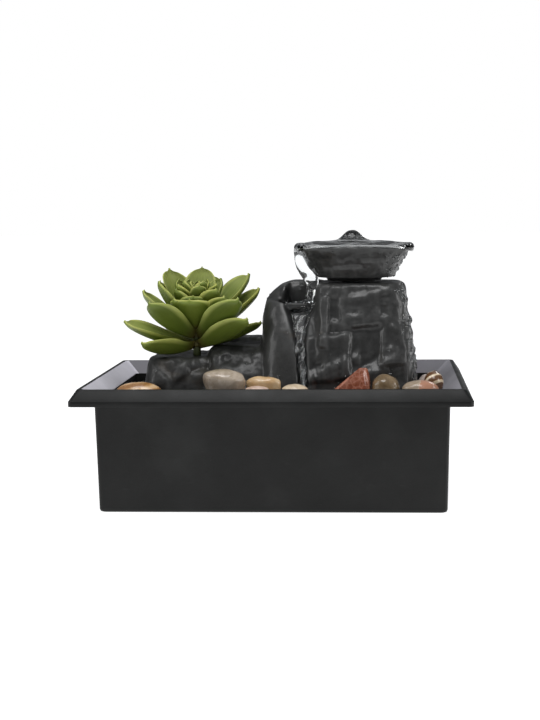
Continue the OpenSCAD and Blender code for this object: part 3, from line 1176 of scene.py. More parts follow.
@dataclass
class CoilWinding:
    """Enamelled wire wound round the stator's yoke, a turn beside the last, by Geometry Nodes."""

    wire_radius: float = 0.42
    turns: int = 19
    layers: int = 3
    corner: float = 1.6

    def tree(self) -> NodeTree:
        """Builds the node tree that lays the turns.

        Returns:
            A tree with the inputs Width, Height, Wire, Turns, Pitch, Corner and Finish.
        """
        tree = begin_tree("coil_turns", {
            "Width": "Float", "Height": "Float", "Wire": "Float", "Turns": "Int",
            "Pitch": "Float", "Corner": "Float", "Finish": "Material",
        })
        new, link = tree.nodes.new, tree.links.new
        given = new("NodeGroupInput")
        loop, fillet = new("GeometryNodeCurvePrimitiveQuadrilateral"), new("GeometryNodeFilletCurve")
        fillet.mode = "POLY"
        fillet.inputs["Count"].default_value = 4
        link(given.outputs["Width"], loop.inputs["Width"])
        link(given.outputs["Height"], loop.inputs["Height"])
        link(loop.outputs[0], fillet.inputs["Curve"])
        link(given.outputs["Corner"], fillet.inputs["Radius"])
        wire, skin = new("GeometryNodeCurvePrimitiveCircle"), new("GeometryNodeCurveToMesh")
        wire.inputs["Resolution"].default_value = 8
        link(given.outputs["Wire"], wire.inputs["Radius"])
        link(fillet.outputs[0], skin.inputs["Curve"])
        link(wire.outputs[0], skin.inputs["Profile Curve"])
        row = new("GeometryNodeMeshLine")
        step = new("ShaderNodeCombineXYZ")
        copies = new("GeometryNodeInstanceOnPoints")
        link(given.outputs["Turns"], row.inputs["Count"])
        link(given.outputs["Pitch"], step.inputs["Z"])
        link(step.outputs[0], row.inputs["Offset"])
        link(row.outputs[0], copies.inputs["Points"])
        link(skin.outputs[0], copies.inputs["Instance"])
        end_tree(tree, copies, given)
        return tree

    def build(self) -> None:
        """Winds the coil in the space its CAD solid holds."""
        copper = Metal("enamelled_copper", (0.62, 0.24, 0.09), MetalKind.TURNED, 0.28).material()
        low, high = low_high("stator_coil")
        centre = (low + high) / 2
        pitch = (high[0] - low[0] - 2 * self.wire_radius) / (self.turns - 1)
        tree = self.tree()
        layers = []
        for layer in range(self.layers):
            inset = self.wire_radius * (1 + 1.8 * layer)
            host = new_piece(f"coil_layer_{layer}", np.zeros((1, 3)), [])
            run_tree(host, tree, {
                "Width": (high[2] - low[2] - 2 * inset) * MM,
                "Height": (high[1] - low[1] - 2 * inset * 0.75) * MM,
                "Wire": self.wire_radius * MM, "Turns": self.turns, "Pitch": pitch * MM,
                "Corner": self.corner * MM, "Finish": copper,
            })
            turned = Matrix.Rotation(math.radians(90), 4, "Y")
            place = Vector((low[0] + self.wire_radius, centre[1], centre[2])) * MM
            host.data.transform(Matrix.Translation(place) @ turned)
            layers.append(host)
        coil = joined("coil_winding", layers)
        finish_piece(coil, "basin", "coil_copper", copper, "stator_coil")


@dataclass
class Pump:
    """The submersible pump: casing, rotor, stator and fittings."""

    def build(self) -> None:
        """Dresses the pump's CAD nodes and winds its coil."""
        casing = MouldedPlastic("pump_casing", (0.03, 0.032, 0.036), roughness=0.38, grain=0.05).material()
        for node in ("pump_housing", "pump_rear_cover", "chamber_cover", "intake_cover"):
            dress_node(node, casing)
        moulding = MouldedPlastic("pump_white", (0.62, 0.64, 0.65), roughness=0.32, grain=0.02, scuffs=0.1)
        white = moulding.material()
        for node in ("impeller", "flow_slider"):
            dress_node(node, white, 0.12)
        rubber = MouldedPlastic("soft_rubber", (0.02, 0.02, 0.021), roughness=0.62, grain=0.06).material()
        for node in ("cable_gland", "suction_cups"):
            dress_node(node, rubber, 0.2)
        silicone = MouldedPlastic("red_silicone", (0.33, 0.05, 0.03), roughness=0.45)
        dress_node("chamber_seal", silicone.material(), 0)
        nozzle = MouldedPlastic("nozzle_black", (0.012, 0.012, 0.013), coat=0.8)
        dress_node("outlet_nozzle", nozzle.material(), 0.3)
        steel = Metal("cover_screw_steel", (0.56, 0.56, 0.58), MetalKind.TURNED).material()
        dress_node("cover_screws", steel, 0.12)
        core = Metal("core_steel", (0.3, 0.31, 0.33), MetalKind.LAMINATED, 0.4)
        dress_node("stator_core", core.material(), 0.2)
        dress_node("rotor_magnet", Ceramic("ferrite_magnet", (0.05, 0.05, 0.055), 0.45).material(), 0.3)
        pale = Ceramic("white_ceramic", (0.78, 0.77, 0.73)).material()
        for node in ("rotor_shaft", "front_bush", "rear_bush"):
            dress_node(node, pale, 0.1)
        CoilWinding().build()


# ---------------------------------------------------------------- rock and bowl


@dataclass(frozen=True)
class Panel:
    """A raised or sunk field on a rock face.

    across and up give its limits, rise tilts its upper and lower edges, and depth is how far it
    stands out, or in when negative.
    """

    across: Pair
    up: Pair
    depth: float
    rise: float = 0.0
    soft: float = 1.5

    def relief(self, u: Array, v: Array) -> Array:
        """Gives the panel's depth at each point.

        Args:
            u: Coordinate across the face.
            v: Height.

        Returns:
            How far each point stands out.
        """
        tilt = self.rise * (u - self.across[0])
        s = self.soft
        inside = ramp01(u - self.across[0], -s, s) * ramp01(self.across[1] - u, -s, s)
        inside = inside * ramp01(v - self.up[0] - tilt, -s, s) * ramp01(self.up[1] + tilt - v, -s, s)
        return self.depth * inside


def shade_relief(
    piece: Piece, rounds: int = 16, gain: float = 1.1, low: float | Array = 0.0
) -> None:
    """Stores how far each vertex stands above its relaxed surroundings, as raised.

    Args:
        piece: The piece to mark.
        rounds: How wide the surroundings are.
        gain: Millimetres of height that give the full range.
        low: Amount taken off everywhere, or vertex by vertex.
    """
    height = ((points_of(piece) - relax(piece, rounds)) * normals_of(piece)).sum(axis=1)
    paint(piece, "raised", np.clip(0.5 + 0.5 * height / gain - low, 0.0, 1.0))


@dataclass(frozen=True)
class Chunk:
    """One block of the rock, a stack of squared ovals.

    Each ring is (z, left, right, front, back). A low squareness gives a round column and a high
    one a block.
    """

    name: str
    squareness: float
    rings: tuple[tuple[float, float, float, float, float], ...]
    around: int = 72
    step: float = 1.2

    def build(self) -> Piece:
        """Builds the chunk as a closed skin.

        Returns:
            The new object.
        """
        marks = np.array(self.rings)
        heights = np.arange(marks[0, 0], marks[-1, 0] + 0.01, self.step)
        turns = np.linspace(0, 2 * math.pi, self.around, endpoint=False)
        c, s = np.cos(turns), np.sin(turns)
        power = 2.0 / self.squareness
        c, s = np.sign(c) * np.abs(c) ** power, np.sign(s) * np.abs(s) ** power
        rings = []
        for z in heights:
            left, right, front, back = (np.interp(z, marks[:, 0], marks[:, k]) for k in range(1, 5))
            x = (left + right) / 2 + (right - left) / 2 * c
            y = (front + back) / 2 + (back - front) / 2 * s
            rings.append(np.column_stack([x, y, np.full_like(x, z)]))
        return lofted(self.name, rings)


@dataclass
class Rock:
    """The cast rock: a blocky tower, a round lobe with a catch cup and spill groove, and a ledge."""

    voxel: float = 0.85
    rounding: int = 5
    lobe_right: float = 17.0
    chunks: tuple[Chunk, ...] = (
        Chunk("tower", 6.0, (
            (56.15, 14, 76.8, -37, 32), (64, 17, 75.6, -35.5, 30), (77.6, 18, 74.8, -34, 28),
            (91, 19, 74.0, -31, 27), (103, 20, 71.4, -27, 25), (113.6, 21, 70.6, -23.5, 23),
            (117.4, 22, 69.4, -22, 22), (119.3, 24.5, 66.5, -20, 20),
        )),
        Chunk("lobe", 2.7, (
            (56.15, -12.6, 32, -38.4, 24), (64.6, -10.9, 32, -37.0, 24), (83.5, -9.2, 32, -31.0, 24),
            (93.7, -8.8, 31, -26.5, 24), (101, -8.5, 30, -22.0, 24), (106.5, -7.5, 28, -18.8, 23),
            (109.3, -5.6, 26, -16.6, 22),
        )),
        Chunk("lobe_crest", 3.0, (
            (100, -8.5, 28, -6, 23), (108, -7.3, 28, -5.0, 22), (112.5, -4.3, 27, -4.2, 21.5),
            (116.6, 0.4, 26, -3, 20), (118.8, 5.0, 25, -1.5, 18), (119.6, 9.5, 23, 1, 15),
        )),
        Chunk("ledge_left", 5.0, (
            (56.15, -74.6, -36, -30, 32), (66, -73.8, -35, -28, 31), (74, -72.8, -34, -24.5, 29),
            (77.4, -71.8, -34, -22, 27), (78.8, -69.5, -36, -19, 24),
        )),
        Chunk("ledge_right", 4.0, (
            (56.15, -42, 0, -33, 30), (70, -41, 0, -28, 28),
            (80, -39.5, 0, -22, 26), (84.6, -34.5, 0, -14, 24),
        )),
        Chunk("ledge_back", 3.0, (
            (70, -42, 0, 2, 27), (80, -39.5, 0, 5, 25), (85.6, -35.5, 0, 10, 22), (87.6, -22, 0, 12, 20),
        )),
    )
    front_panels: tuple[Panel, ...] = (
        Panel((23.8, 28.6), (85.0, 112.5), 1.3, soft=0.8),
        Panel((28.8, 35.3), (91.5, 111.5), -1.7, soft=1.4),
        Panel((30.2, 35.6), (93.5, 99.0), 1.5, soft=1.0),
        Panel((35.3, 57.4), (94.4, 111.8), 1.1, rise=0.12),
        Panel((38.0, 50.0), (102.0, 108.0), -0.6, rise=0.1, soft=2.2),
        Panel((40.9, 57.3), (72.0, 94.2), -1.5, rise=0.1, soft=2.2),
        Panel((17.0, 40.9), (66.0, 90.2), 1.5, rise=0.11, soft=1.0),
        Panel((24.6, 26.2), (68.0, 88.5), -0.5, soft=0.8),
        Panel((29.6, 31.2), (68.0, 89.2), -0.5, soft=0.8),
        Panel((34.6, 36.4), (68.0, 89.5), -0.5, soft=0.8),
        Panel((57.8, 74.0), (76.0, 117.0), 1.1),
        Panel((63.5, 71.0), (97.0, 109.0), -0.9, rise=-0.2, soft=2.0),
        Panel((59.5, 67.0), (84.0, 93.0), -1.0, rise=0.2, soft=1.8),
        Panel((56.8, 60.8), (101.6, 108.1), -1.2, soft=1.2),
        Panel((17.0, 46.0), (50.0, 70.3), 1.7, rise=0.43, soft=2.4),
        Panel((46.0, 78.0), (50.0, 72.4), 1.7, rise=0.45, soft=2.4),
        Panel((50.5, 63.5), (113.0, 121.0), 1.0),
        Panel((31.0, 36.0), (115.0, 121.0), 0.8),
    )
    ledge_panels: tuple[Panel, ...] = (
        Panel((-69.0, -57.5), (62.0, 76.4), 1.7, rise=-0.8, soft=1.6),
        Panel((-66.0, -50.0), (56.0, 64.0), -1.4, rise=-0.5, soft=1.8),
        Panel((-55.0, -44.0), (66.0, 74.0), 1.6, rise=0.6, soft=1.8),
        Panel((-47.9, -36.0), (70.0, 81.0), -2.6, rise=0.1, soft=1.8),
        Panel((-38.0, -24.0), (58.0, 70.0), 1.5, rise=0.5, soft=1.8),
        Panel((-30.0, -12.0), (72.0, 80.0), -1.6, rise=0.25, soft=1.8),
        Panel((-24.0, -10.0), (56.0, 66.0), 1.2, rise=-0.3, soft=1.8),
    )
    cup_centre: Pair = (11.4, -9.6)
    cup_half: Pair = (11.8, 8.2)
    cup_floor: float = 101.5
    seed: int = 11

    def side_panels(self, across: Pair, up: Pair, count: int) -> list[Panel]:
        """Makes seeded panels for a face that has none of its own.

        Args:
            across: Limits of the face.
            up: Lowest and highest edge of a panel.
            count: How many to make.

        Returns:
            The panels.
        """
        pick = np.random.default_rng(self.seed + abs(int(across[0])) + count)
        made = []
        for _ in range(count):
            left, low = pick.uniform(*across), pick.uniform(*up)
            wide, tall = pick.uniform(9, 22), pick.uniform(10, 28)
            depth, rise = pick.uniform(-1.7, 1.7), pick.uniform(-0.25, 0.35)
            made.append(Panel((left, left + wide), (low, low + tall), depth, rise))
        return made

    def press_cup(self, piece: Piece) -> None:
        """Presses the catch cup into the lobe, open at the front where it spills.

        Args:
            piece: The rock.
        """
        p = points_of(piece)
        x, y, z = p.T
        dx, dy = (x - self.cup_centre[0]) / self.cup_half[0], (y - self.cup_centre[1]) / self.cup_half[1]
        inside = 1 - ramp01(np.abs(dx) ** 2.6 + np.abs(dy) ** 2.6, 0.45, 1.0)
        low = self.cup_floor + 1.6 * (dx**2 + np.clip(dy, 0, 1) ** 2)
        on_top = (z > self.cup_floor) & (z < 113)
        p[:, 2] = np.where(on_top, z - inside * np.maximum(z - low, 0), z)
        move_points(piece, p)

    def carve(self, piece: Piece) -> None:
        """Presses the panels and the spill groove into the rock's faces.

        Args:
            piece: The rock.
        """
        p, n = points_of(piece), normals_of(piece)
        x, y, z = p.T
        front, back = np.clip(-1.5 * n[:, 1] + 0.1, 0, 1), np.clip(1.6 * n[:, 1], 0, 1)
        tower = ramp01(x, self.lobe_right - 1.5, self.lobe_right + 1.5)
        side = np.clip(1.6 * np.abs(n[:, 0]), 0, 1) * np.where(x > 10, 1.0, 0.5)
        out = sum(panel.relief(x, z) for panel in self.front_panels) * front * tower
        out += sum(panel.relief(x, z) for panel in self.ledge_panels) * front * (1 - ramp01(x, -14, -9))
        p[:, 1] -= out
        p[:, 1] += sum(panel.relief(x, z) for panel in self.side_panels((-78, 64), (54, 104), 30)) * back
        flank = sum(panel.relief(y, z) for panel in self.side_panels((-34, 22), (54, 104), 14))
        p[:, 0] += np.sign(n[:, 0]) * flank * side * ramp01(x, 12, 20)
        p[:, 1] += self.groove(x, z) * front
        move_points(piece, p)

    def groove(self, x: Array, z: Array) -> Array:
        """Gives the depth of the spill groove under the catch cup.

        Args:
            x: Places across.
            z: Heights.

        Returns:
            The depth at each place.
        """
        middle = np.interp(z, [56, 64.6, 85.4, 93.7, 108], [16.6, 15.6, 13.6, 13.2, 12.8])
        half = np.interp(z, [56, 80, 88, 94, 101, 107], [3.6, 3.0, 3.4, 4.6, 6.6, 9.0])
        depth = np.interp(z, [56, 86, 96, 108], [2.4, 2.6, 4.0, 4.6])
        return depth * (1 - ramp01(np.abs(x - middle), half * 0.62, half * 1.06)) * ramp01(z, 57, 62)

    def in_groove(self, piece: Piece) -> Array:
        """Gives how far each vertex lies inside the spill groove or the cup, 0 to 0.45. Taken off raised, it
        gives the groove and cup painted shade.

        Args:
            piece: The rock.

        Returns:
            One share for each vertex.
        """
        p = points_of(piece)
        cup = ramp01(p[:, 2], 100, 104) * (np.abs(p[:, 0] - 11.5) < 10.5) * (np.abs(p[:, 1] + 8) < 7.5)
        front = p[:, 1] < -14
        return 0.45 * np.clip(np.where(front, self.groove(p[:, 0], p[:, 2]) / 2.4, cup), 0.0, 1.0)

    def weather(self, piece: Piece) -> None:
        """Adds broad unevenness and fine roughness to the skin.

        Args:
            piece: The rock.
        """
        p, n = points_of(piece), normals_of(piece)
        lobe = (1 - ramp01(p[:, 0], self.lobe_right - 3, self.lobe_right + 3)) * ramp01(p[:, 0], -14, -6)
        broad = 0.7 * wobble(p, 19.0, 4, 2) * (1 - 0.5 * lobe)
        broad += 0.4 * wobble(p, 7.0, 9, 3) * (1 - 0.75 * lobe)
        broad += 0.32 * wobble(p * np.array([1.0, 1.0, 0.22]), 3.6, 13, 2) * (1 - 0.6 * lobe)
        seat = ramp01(p[:, 2], 117.2, 119.0) * ramp01(p[:, 0], 17, 21)
        keep = ramp01(p[:, 2], 56.3, 60.0) * (1 - seat)
        move_points(piece, p + n * (broad * keep)[:, None])

    def build(self) -> None:
        """Builds the rock and dresses it."""
        rock = joined("cast_rock", [chunk.build() for chunk in self.chunks])
        voxel_union(rock, self.voxel)
        move_points(rock, relax(rock, self.rounding))
        self.press_cup(rock)
        self.carve(rock)
        voxel_union(rock, self.voxel * 0.9)
        move_points(rock, relax(rock, 3))
        self.weather(rock)
        move_points(rock, relax(rock, 1, 0.4))
        # raised drives the painted shade in hollows and the painted highlights on edges; the groove and cup
        # are pushed into painted shade.
        shade_relief(rock, low=self.in_groove(rock))
        finish_piece(rock, "deck", "wet_rock", WetRock("wet_rock").material(), "rock")


@dataclass
class TopBowl:
    """The flared bowl on the tower."""

    voxel: float = 0.55
    rounding: int = 3

    def build(self) -> None:
        """Builds the bowl and dresses it."""
        bowl = merged_copy("top_bowl", "rock_bowl")
        voxel_union(bowl, self.voxel)
        move_points(bowl, relax(bowl, self.rounding))
        p, n = points_of(bowl), normals_of(bowl)
        low, high = low_high("top_bowl")
        outer = np.clip(-1.8 * n[:, 2] + 0.35, 0, 1) * ramp01(p[:, 2], low[2] + 1.0, low[2] + 3.0)
        outer *= 1 - ramp01(p[:, 2], high[2] - 3.5, high[2] - 1.0)
        panels = (
            Panel((30, 47), (119, 127), 0.9, 0.05),
            Panel((47, 60), (122, 131), 0.8),
            Panel((16, 30), (126, 134), -0.7),
        )
        facets = sum(panel.relief(p[:, 0], p[:, 2]) for panel in panels)
        p[:, 1] += np.sign(n[:, 1]) * facets * outer
        p += n * (outer * (0.5 * wobble(p, 9.0, 21, 3)))[:, None]
        move_points(bowl, p)
        move_points(bowl, relax(bowl, 1, 0.5))
        # raised drives the bowl's painted shade in hollows and painted highlights on edges.
        shade_relief(bowl, 14, 0.7)
        finish_piece(bowl, "bowl", "wet_rock", WetRock("wet_bowl").material(), "top_bowl")


# ---------------------------------------------------------------- plant


@dataclass(frozen=True)
class Leaf:
    """One fleshy leaf: bearing and angles in degrees, sizes in millimetres."""

    bearing: float
    length: float
    width: float
    low: float
    high: float
    roll: float = 0.0
    cup: float = 0.4
    thickness: float = 2.5

    def spine(self, t: Array) -> tuple[Array, Array]:
        """Gives reach and rise along the midrib for t from 0 at the foot to 1 at the tip.

        Args:
            t: Places along the leaf.

        Returns:
            The reach and the rise.
        """
        angle = np.radians(self.low + (self.high - self.low) * np.linspace(0, 1, 65) ** 1.3)
        steps = self.length / 64
        reach = np.concatenate([[0], np.cumsum(np.cos(angle[1:]) * steps)])
        rise = np.concatenate([[0], np.cumsum(np.sin(angle[1:]) * steps)])
        places = np.linspace(0, 1, 65)
        return np.interp(t, places, reach), np.interp(t, places, rise)

    def half_width(self, t: Array) -> Array:
        """Gives the half width, fullest past the middle and pointed at the tip.

        Args:
            t: Places along the leaf.

        Returns:
            The half width at each place.
        """
        swell = 0.34 + 0.66 * np.sin(np.clip(t / 0.64, 0, 1) * math.pi / 2) ** 1.3
        blade = np.sqrt(np.maximum(1 - np.clip((t - 0.6) / 0.355, 0, 1) ** 2.2, 0))
        point = 0.16 * np.clip((1 - t) / 0.12, 0, 1) * ramp01(t, 0.7, 0.9)
        return self.width / 2 * swell * np.maximum(np.maximum(blade, point), 0.012)

    def build(self, foot: Array, start: float, shade: float) -> Piece:
        """Builds the leaf as a closed skin.

        Args:
            foot: Point on the stem that it grows from.
            start: Distance of its foot from the stem's middle.
            shade: Its own tone, 0 to 1.

        Returns:
            The new object, with the attributes along, across, under and shade.
        """
        rows, columns = 34, 15
        t = (np.linspace(0, 1, rows) ** 0.82)[:, None]
        u = np.linspace(-1, 1, columns)[None, :]
        reach, rise = self.spine(t)
        half = self.half_width(t)
        slope = np.radians(self.low + (self.high - self.low) * t**1.3)
        lift = self.cup * half * u**2 * (1.15 - 0.4 * t) + 0.05 * half * np.abs(u)
        ripple = 0.35 * np.sin(9 * t + 5 * shade) * u**3 * t
        point_up = 1.3 * np.clip((t - 0.86) / 0.14, 0, 1) ** 2
        belly = self.thickness * (1 - 0.55 * t) * (1 - np.abs(u) ** 2.4) ** 0.7 + 0.34
        sheets = []
        for under in (0.0, 1.0):
            height = lift + ripple + point_up - under * belly
            x = start + reach - height * np.sin(slope)
            z = rise + height * np.cos(slope)
            y = half * u * np.ones_like(z)
            sheets.append(np.stack([x + 0 * u, y, z + 0 * u], axis=-1))
        top, back = (sheet.reshape(-1, 3) for sheet in sheets)
        points = np.vstack([top, back])
        size = rows * columns
        quads = [
            (r * columns + c, (r + 1) * columns + c, (r + 1) * columns + c + 1, r * columns + c + 1)
            for r in range(rows - 1)
            for c in range(columns - 1)
        ]
        rim = [c for c in range(columns)] + [r * columns + columns - 1 for r in range(1, rows)]
        rim += [(rows - 1) * columns + c for c in range(columns - 2, -1, -1)]
        rim += [r * columns for r in range(rows - 2, 0, -1)]
        faces = quads + [tuple(size + v for v in reversed(q)) for q in quads]
        faces += [(a, b, size + b, size + a) for a, b in zip(rim, rim[1:] + rim[:1])]
        tilt = math.radians(self.roll) * np.tile(np.repeat(ramp01(t.ravel(), 0.0, 0.5), columns), 2)
        side = points[:, 1].copy()
        points[:, 1] = side * np.cos(tilt)
        points[:, 2] += side * np.sin(tilt)
        turn = math.radians(self.bearing)
        x, y = points[:, 0].copy(), points[:, 1].copy()
        points[:, 0] = x * math.cos(turn) - y * math.sin(turn)
        points[:, 1] = x * math.sin(turn) + y * math.cos(turn)
        piece = new_piece("leaf", points + foot, faces)
        full = np.tile(t, (1, columns)).ravel(), np.tile(np.abs(u), (rows, 1)).ravel()
        paint(piece, "along", np.tile(full[0], 2))
        paint(piece, "across", np.tile(full[1], 2))
        paint(piece, "under", np.repeat([0.0, 1.0], size))
        paint(piece, "shade", np.full(2 * size, shade))
        return piece


@dataclass
class Plant:
    """The succulent: a stem with whorls of leaves threaded on it and a heart."""

    tiers: tuple[tuple[str, float, tuple[Leaf, ...]], ...] = (
        ("leaves_outer", 84.6, (
            Leaf(187, 40.5, 20, 6, 34, -8),
            Leaf(217, 34, 21, -20, 34, 12, 0.5),
            Leaf(326, 38.5, 20, 10, 40, -14, 0.45),
            Leaf(7, 36, 18, 8, 30, -8),
            Leaf(64, 36, 19, 10, 40),
            Leaf(128, 37, 19, 10, 40),
        )),
        ("leaves_lower", 90.0, (
            Leaf(170, 38, 19.5, 26, 56, 6),
            Leaf(224, 36.5, 23, 14, 56, 10, 0.42),
            Leaf(318, 40, 21, 16, 54, -12, 0.42),
            Leaf(12, 42, 20, 24, 52, 12),
            Leaf(72, 36, 19, 24, 56),
            Leaf(122, 37, 19, 26, 60),
        )),
        ("leaves_middle", 95.4, (
            Leaf(192, 31, 18.5, 38, 72, -6),
            Leaf(234, 22, 15, 30, 60, 6),
            Leaf(266, 23, 22, 28, 56, 0, 0.5),
            Leaf(330, 24, 16, 30, 58, -6),
            Leaf(20, 40, 21, 32, 58, 14),
            Leaf(76, 36, 19, 34, 66),
            Leaf(140, 37, 22, 44, 72, 6),
        )),
        ("leaves_upper", 100.6, (
            Leaf(158, 22, 15, 52, 82),
            Leaf(208, 18, 14.5, 44, 76),
            Leaf(270, 15.5, 16, 36, 62),
            Leaf(326, 20, 15, 36, 66, -8),
            Leaf(28, 24, 16, 44, 74, 8),
            Leaf(84, 30, 18, 50, 78),
        )),
    )
    seed: int = 5

    def build(self) -> None:
        """Builds the whorls, the heart and the stem."""
        skin = LeafSkin("leaf_green").material()
        stem_low, stem_high = low_high("plant_stem")
        axis = (stem_low + stem_high) / 2
        radius = (stem_high[0] - stem_low[0]) / 2
        pick = np.random.default_rng(self.seed)
        for node, height, leaves in self.tiers:
            foot = np.array([axis[0], axis[1], height])
            made = [leaf.build(foot, radius + 0.4, float(pick.uniform(0.1, 0.9))) for leaf in leaves]
            made.append(self.hub(foot, radius))
            whorl = joined(f"{node}_whorl", made)
            finish_piece(whorl, "plant", "leaf_plastic", skin, node)
        self.heart(axis, radius, skin, pick)
        stem_skin = MouldedPlastic("stem_green", (0.13, 0.16, 0.05), roughness=0.5, grain=0.08)
        dress_node("plant_stem", stem_skin.material(), 0.3)

    def hub(self, foot: Array, radius: float) -> Piece:
        """Makes the ring that carries a whorl's leaves.

        Args:
            foot: Its middle.
            radius: The stem's radius.

        Returns:
            The new object.
        """
        turns = np.linspace(0, 2 * math.pi, 24, endpoint=False)
        section = [(0.05, -1.6), (1.6, -1.6), (2.2, -0.8), (2.2, 0.8), (1.6, 1.6), (0.05, 1.6)]
        n, m = len(turns), len(section)
        points = [
            foot + np.array([(radius + out) * math.cos(a), (radius + out) * math.sin(a), up])
            for out, up in section
            for a in turns
        ]
        faces = [
            (k * n + i, k * n + (i + 1) % n, ((k + 1) % m) * n + (i + 1) % n, ((k + 1) % m) * n + i)
            for k in range(m)
            for i in range(n)
        ]
        piece = new_piece("hub", np.array(points), faces)
        outward(piece)
        return piece

    def heart(
        self, axis: Array, radius: float, skin: Material, pick: np.random.Generator
    ) -> None:
        """Builds the small upright leaves at the top.

        Args:
            axis: Middle of the stem.
            radius: The stem's radius.
            skin: The leaves' material.
            pick: Source of small differences between the leaves.
        """
        low, high = low_high("leaf_heart")
        foot = np.array([axis[0], axis[1], low[2] + 0.4])
        tall = (high[2] - low[2]) * 0.78
        made = []
        for ring, (count, length, lean) in enumerate(((5, 0.98, 40), (4, 0.98, 54), (3, 0.86, 70))):
            for k in range(count):
                bearing, width = 360 * k / count + 40 * ring, 9.4 - 1.6 * ring
                leaf = Leaf(bearing, tall * length, width, lean, lean + 18, cup=0.5, thickness=1.6)
                made.append(leaf.build(foot, radius * 0.45 - 0.3 * ring, float(pick.uniform(0.5, 1.0))))
        finish_piece(joined("leaf_heart_bud", made), "plant", "leaf_plastic", skin, "leaf_heart")


# ---------------------------------------------------------------- pebbles


class StoneShape(Enum):
    """Outline of a pebble."""

    ROUND = "round"
    BEAN = "bean"
    WEDGE = "wedge"


@dataclass(frozen=True)
class Pebble:
    """One loose polished stone in the place that its CAD node holds."""

    node: str
    slot: str
    finish: PolishedStone
    shape: StoneShape = StoneShape.ROUND
    waist: float = 0.5
    flat: float = 1.0
    tilt: float = 0.0
    seed: int = 1

    def build(self) -> None:
        """Builds the stone and dresses it."""
        low, high = low_high(self.node)
        centre, half = (low + high) / 2, (high - low) / 2
        work = bmesh.new()
        bmesh.ops.create_cube(work, size=2.0)
        bmesh.ops.subdivide_edges(work, edges=work.edges, cuts=21, use_grid_fill=True)
        cube = np.array([v.co for v in work.verts])
        faces = [[v.index for v in f.verts] for f in work.faces]
        work.free()
        unit = cube / np.linalg.norm(cube, axis=1, keepdims=True)
        if self.shape is StoneShape.WEDGE:
            points = self.wedge(unit)
        else:
            points = unit.copy()
            points[:, 2] = np.sign(unit[:, 2]) * np.abs(unit[:, 2]) ** self.flat
            if self.shape is StoneShape.BEAN:
                waist = np.exp(-((points[:, 0] - 0.1) / 0.22) ** 2)
                points[:, 2] -= 0.09 * waist * (points[:, 2] > 0) * points[:, 2]
                points[:, 2] -= 0.1 * points[:, 0] ** 2
        points = points * (1 + 0.07 * wobble(unit * 10, 9.0, self.seed, 2)[:, None])
        points = points + unit * 0.012 * wobble(unit * 10, 2.0, self.seed + 3, 2)[:, None]
        rise = np.where(points[:, 2] > 0, 2 * (1 - self.waist), 2 * self.waist)
        points[:, 2] = points[:, 2] * rise + self.tilt * points[:, 0] * (1 - np.abs(points[:, 2]) ** 2)
        points[:, 2] = np.maximum(points[:, 2], -1.9 * self.waist + 0.03 * points[:, 2])
        span = points.max(axis=0) - points.min(axis=0)
        points = (points - (points.max(axis=0) + points.min(axis=0)) / 2) / (span / 2)
        name = f"stone_{self.node.removeprefix('pebble_')}"
        stone = new_piece(name, points * half * 0.995 + centre, faces)
        outward(stone)
        look = PolishedStone(**{**self.finish.__dict__, "centre": tuple(centre)})
        finish_piece(stone, "deck", self.slot, look.material(), self.node)

    def wedge(self, unit: Array) -> Array:
        """Gives a rounded block with a peak to the right, from points on a unit ball.

        Args:
            unit: Points on a unit ball.

        Returns:
            The points moved to the block.
        """
        tips = np.array([
            (-1.0, -0.55, -0.85), (-1.0, 0.55, -0.8), (-0.98, 0.0, -0.5),
            (0.95, -0.8, -0.95), (0.95, 0.8, -0.95),
            (0.6, -0.45, 1.0), (0.85, 0.05, 0.98), (0.5, 0.5, 0.85), (1.0, -0.3, 0.3), (0.98, 0.5, 0.2),
        ])
        reach = unit @ tips.T
        weight = np.exp(9.0 * (reach - reach.max(axis=1, keepdims=True)))
        return (weight @ tips) / weight.sum(axis=1, keepdims=True) + 0.12 * unit


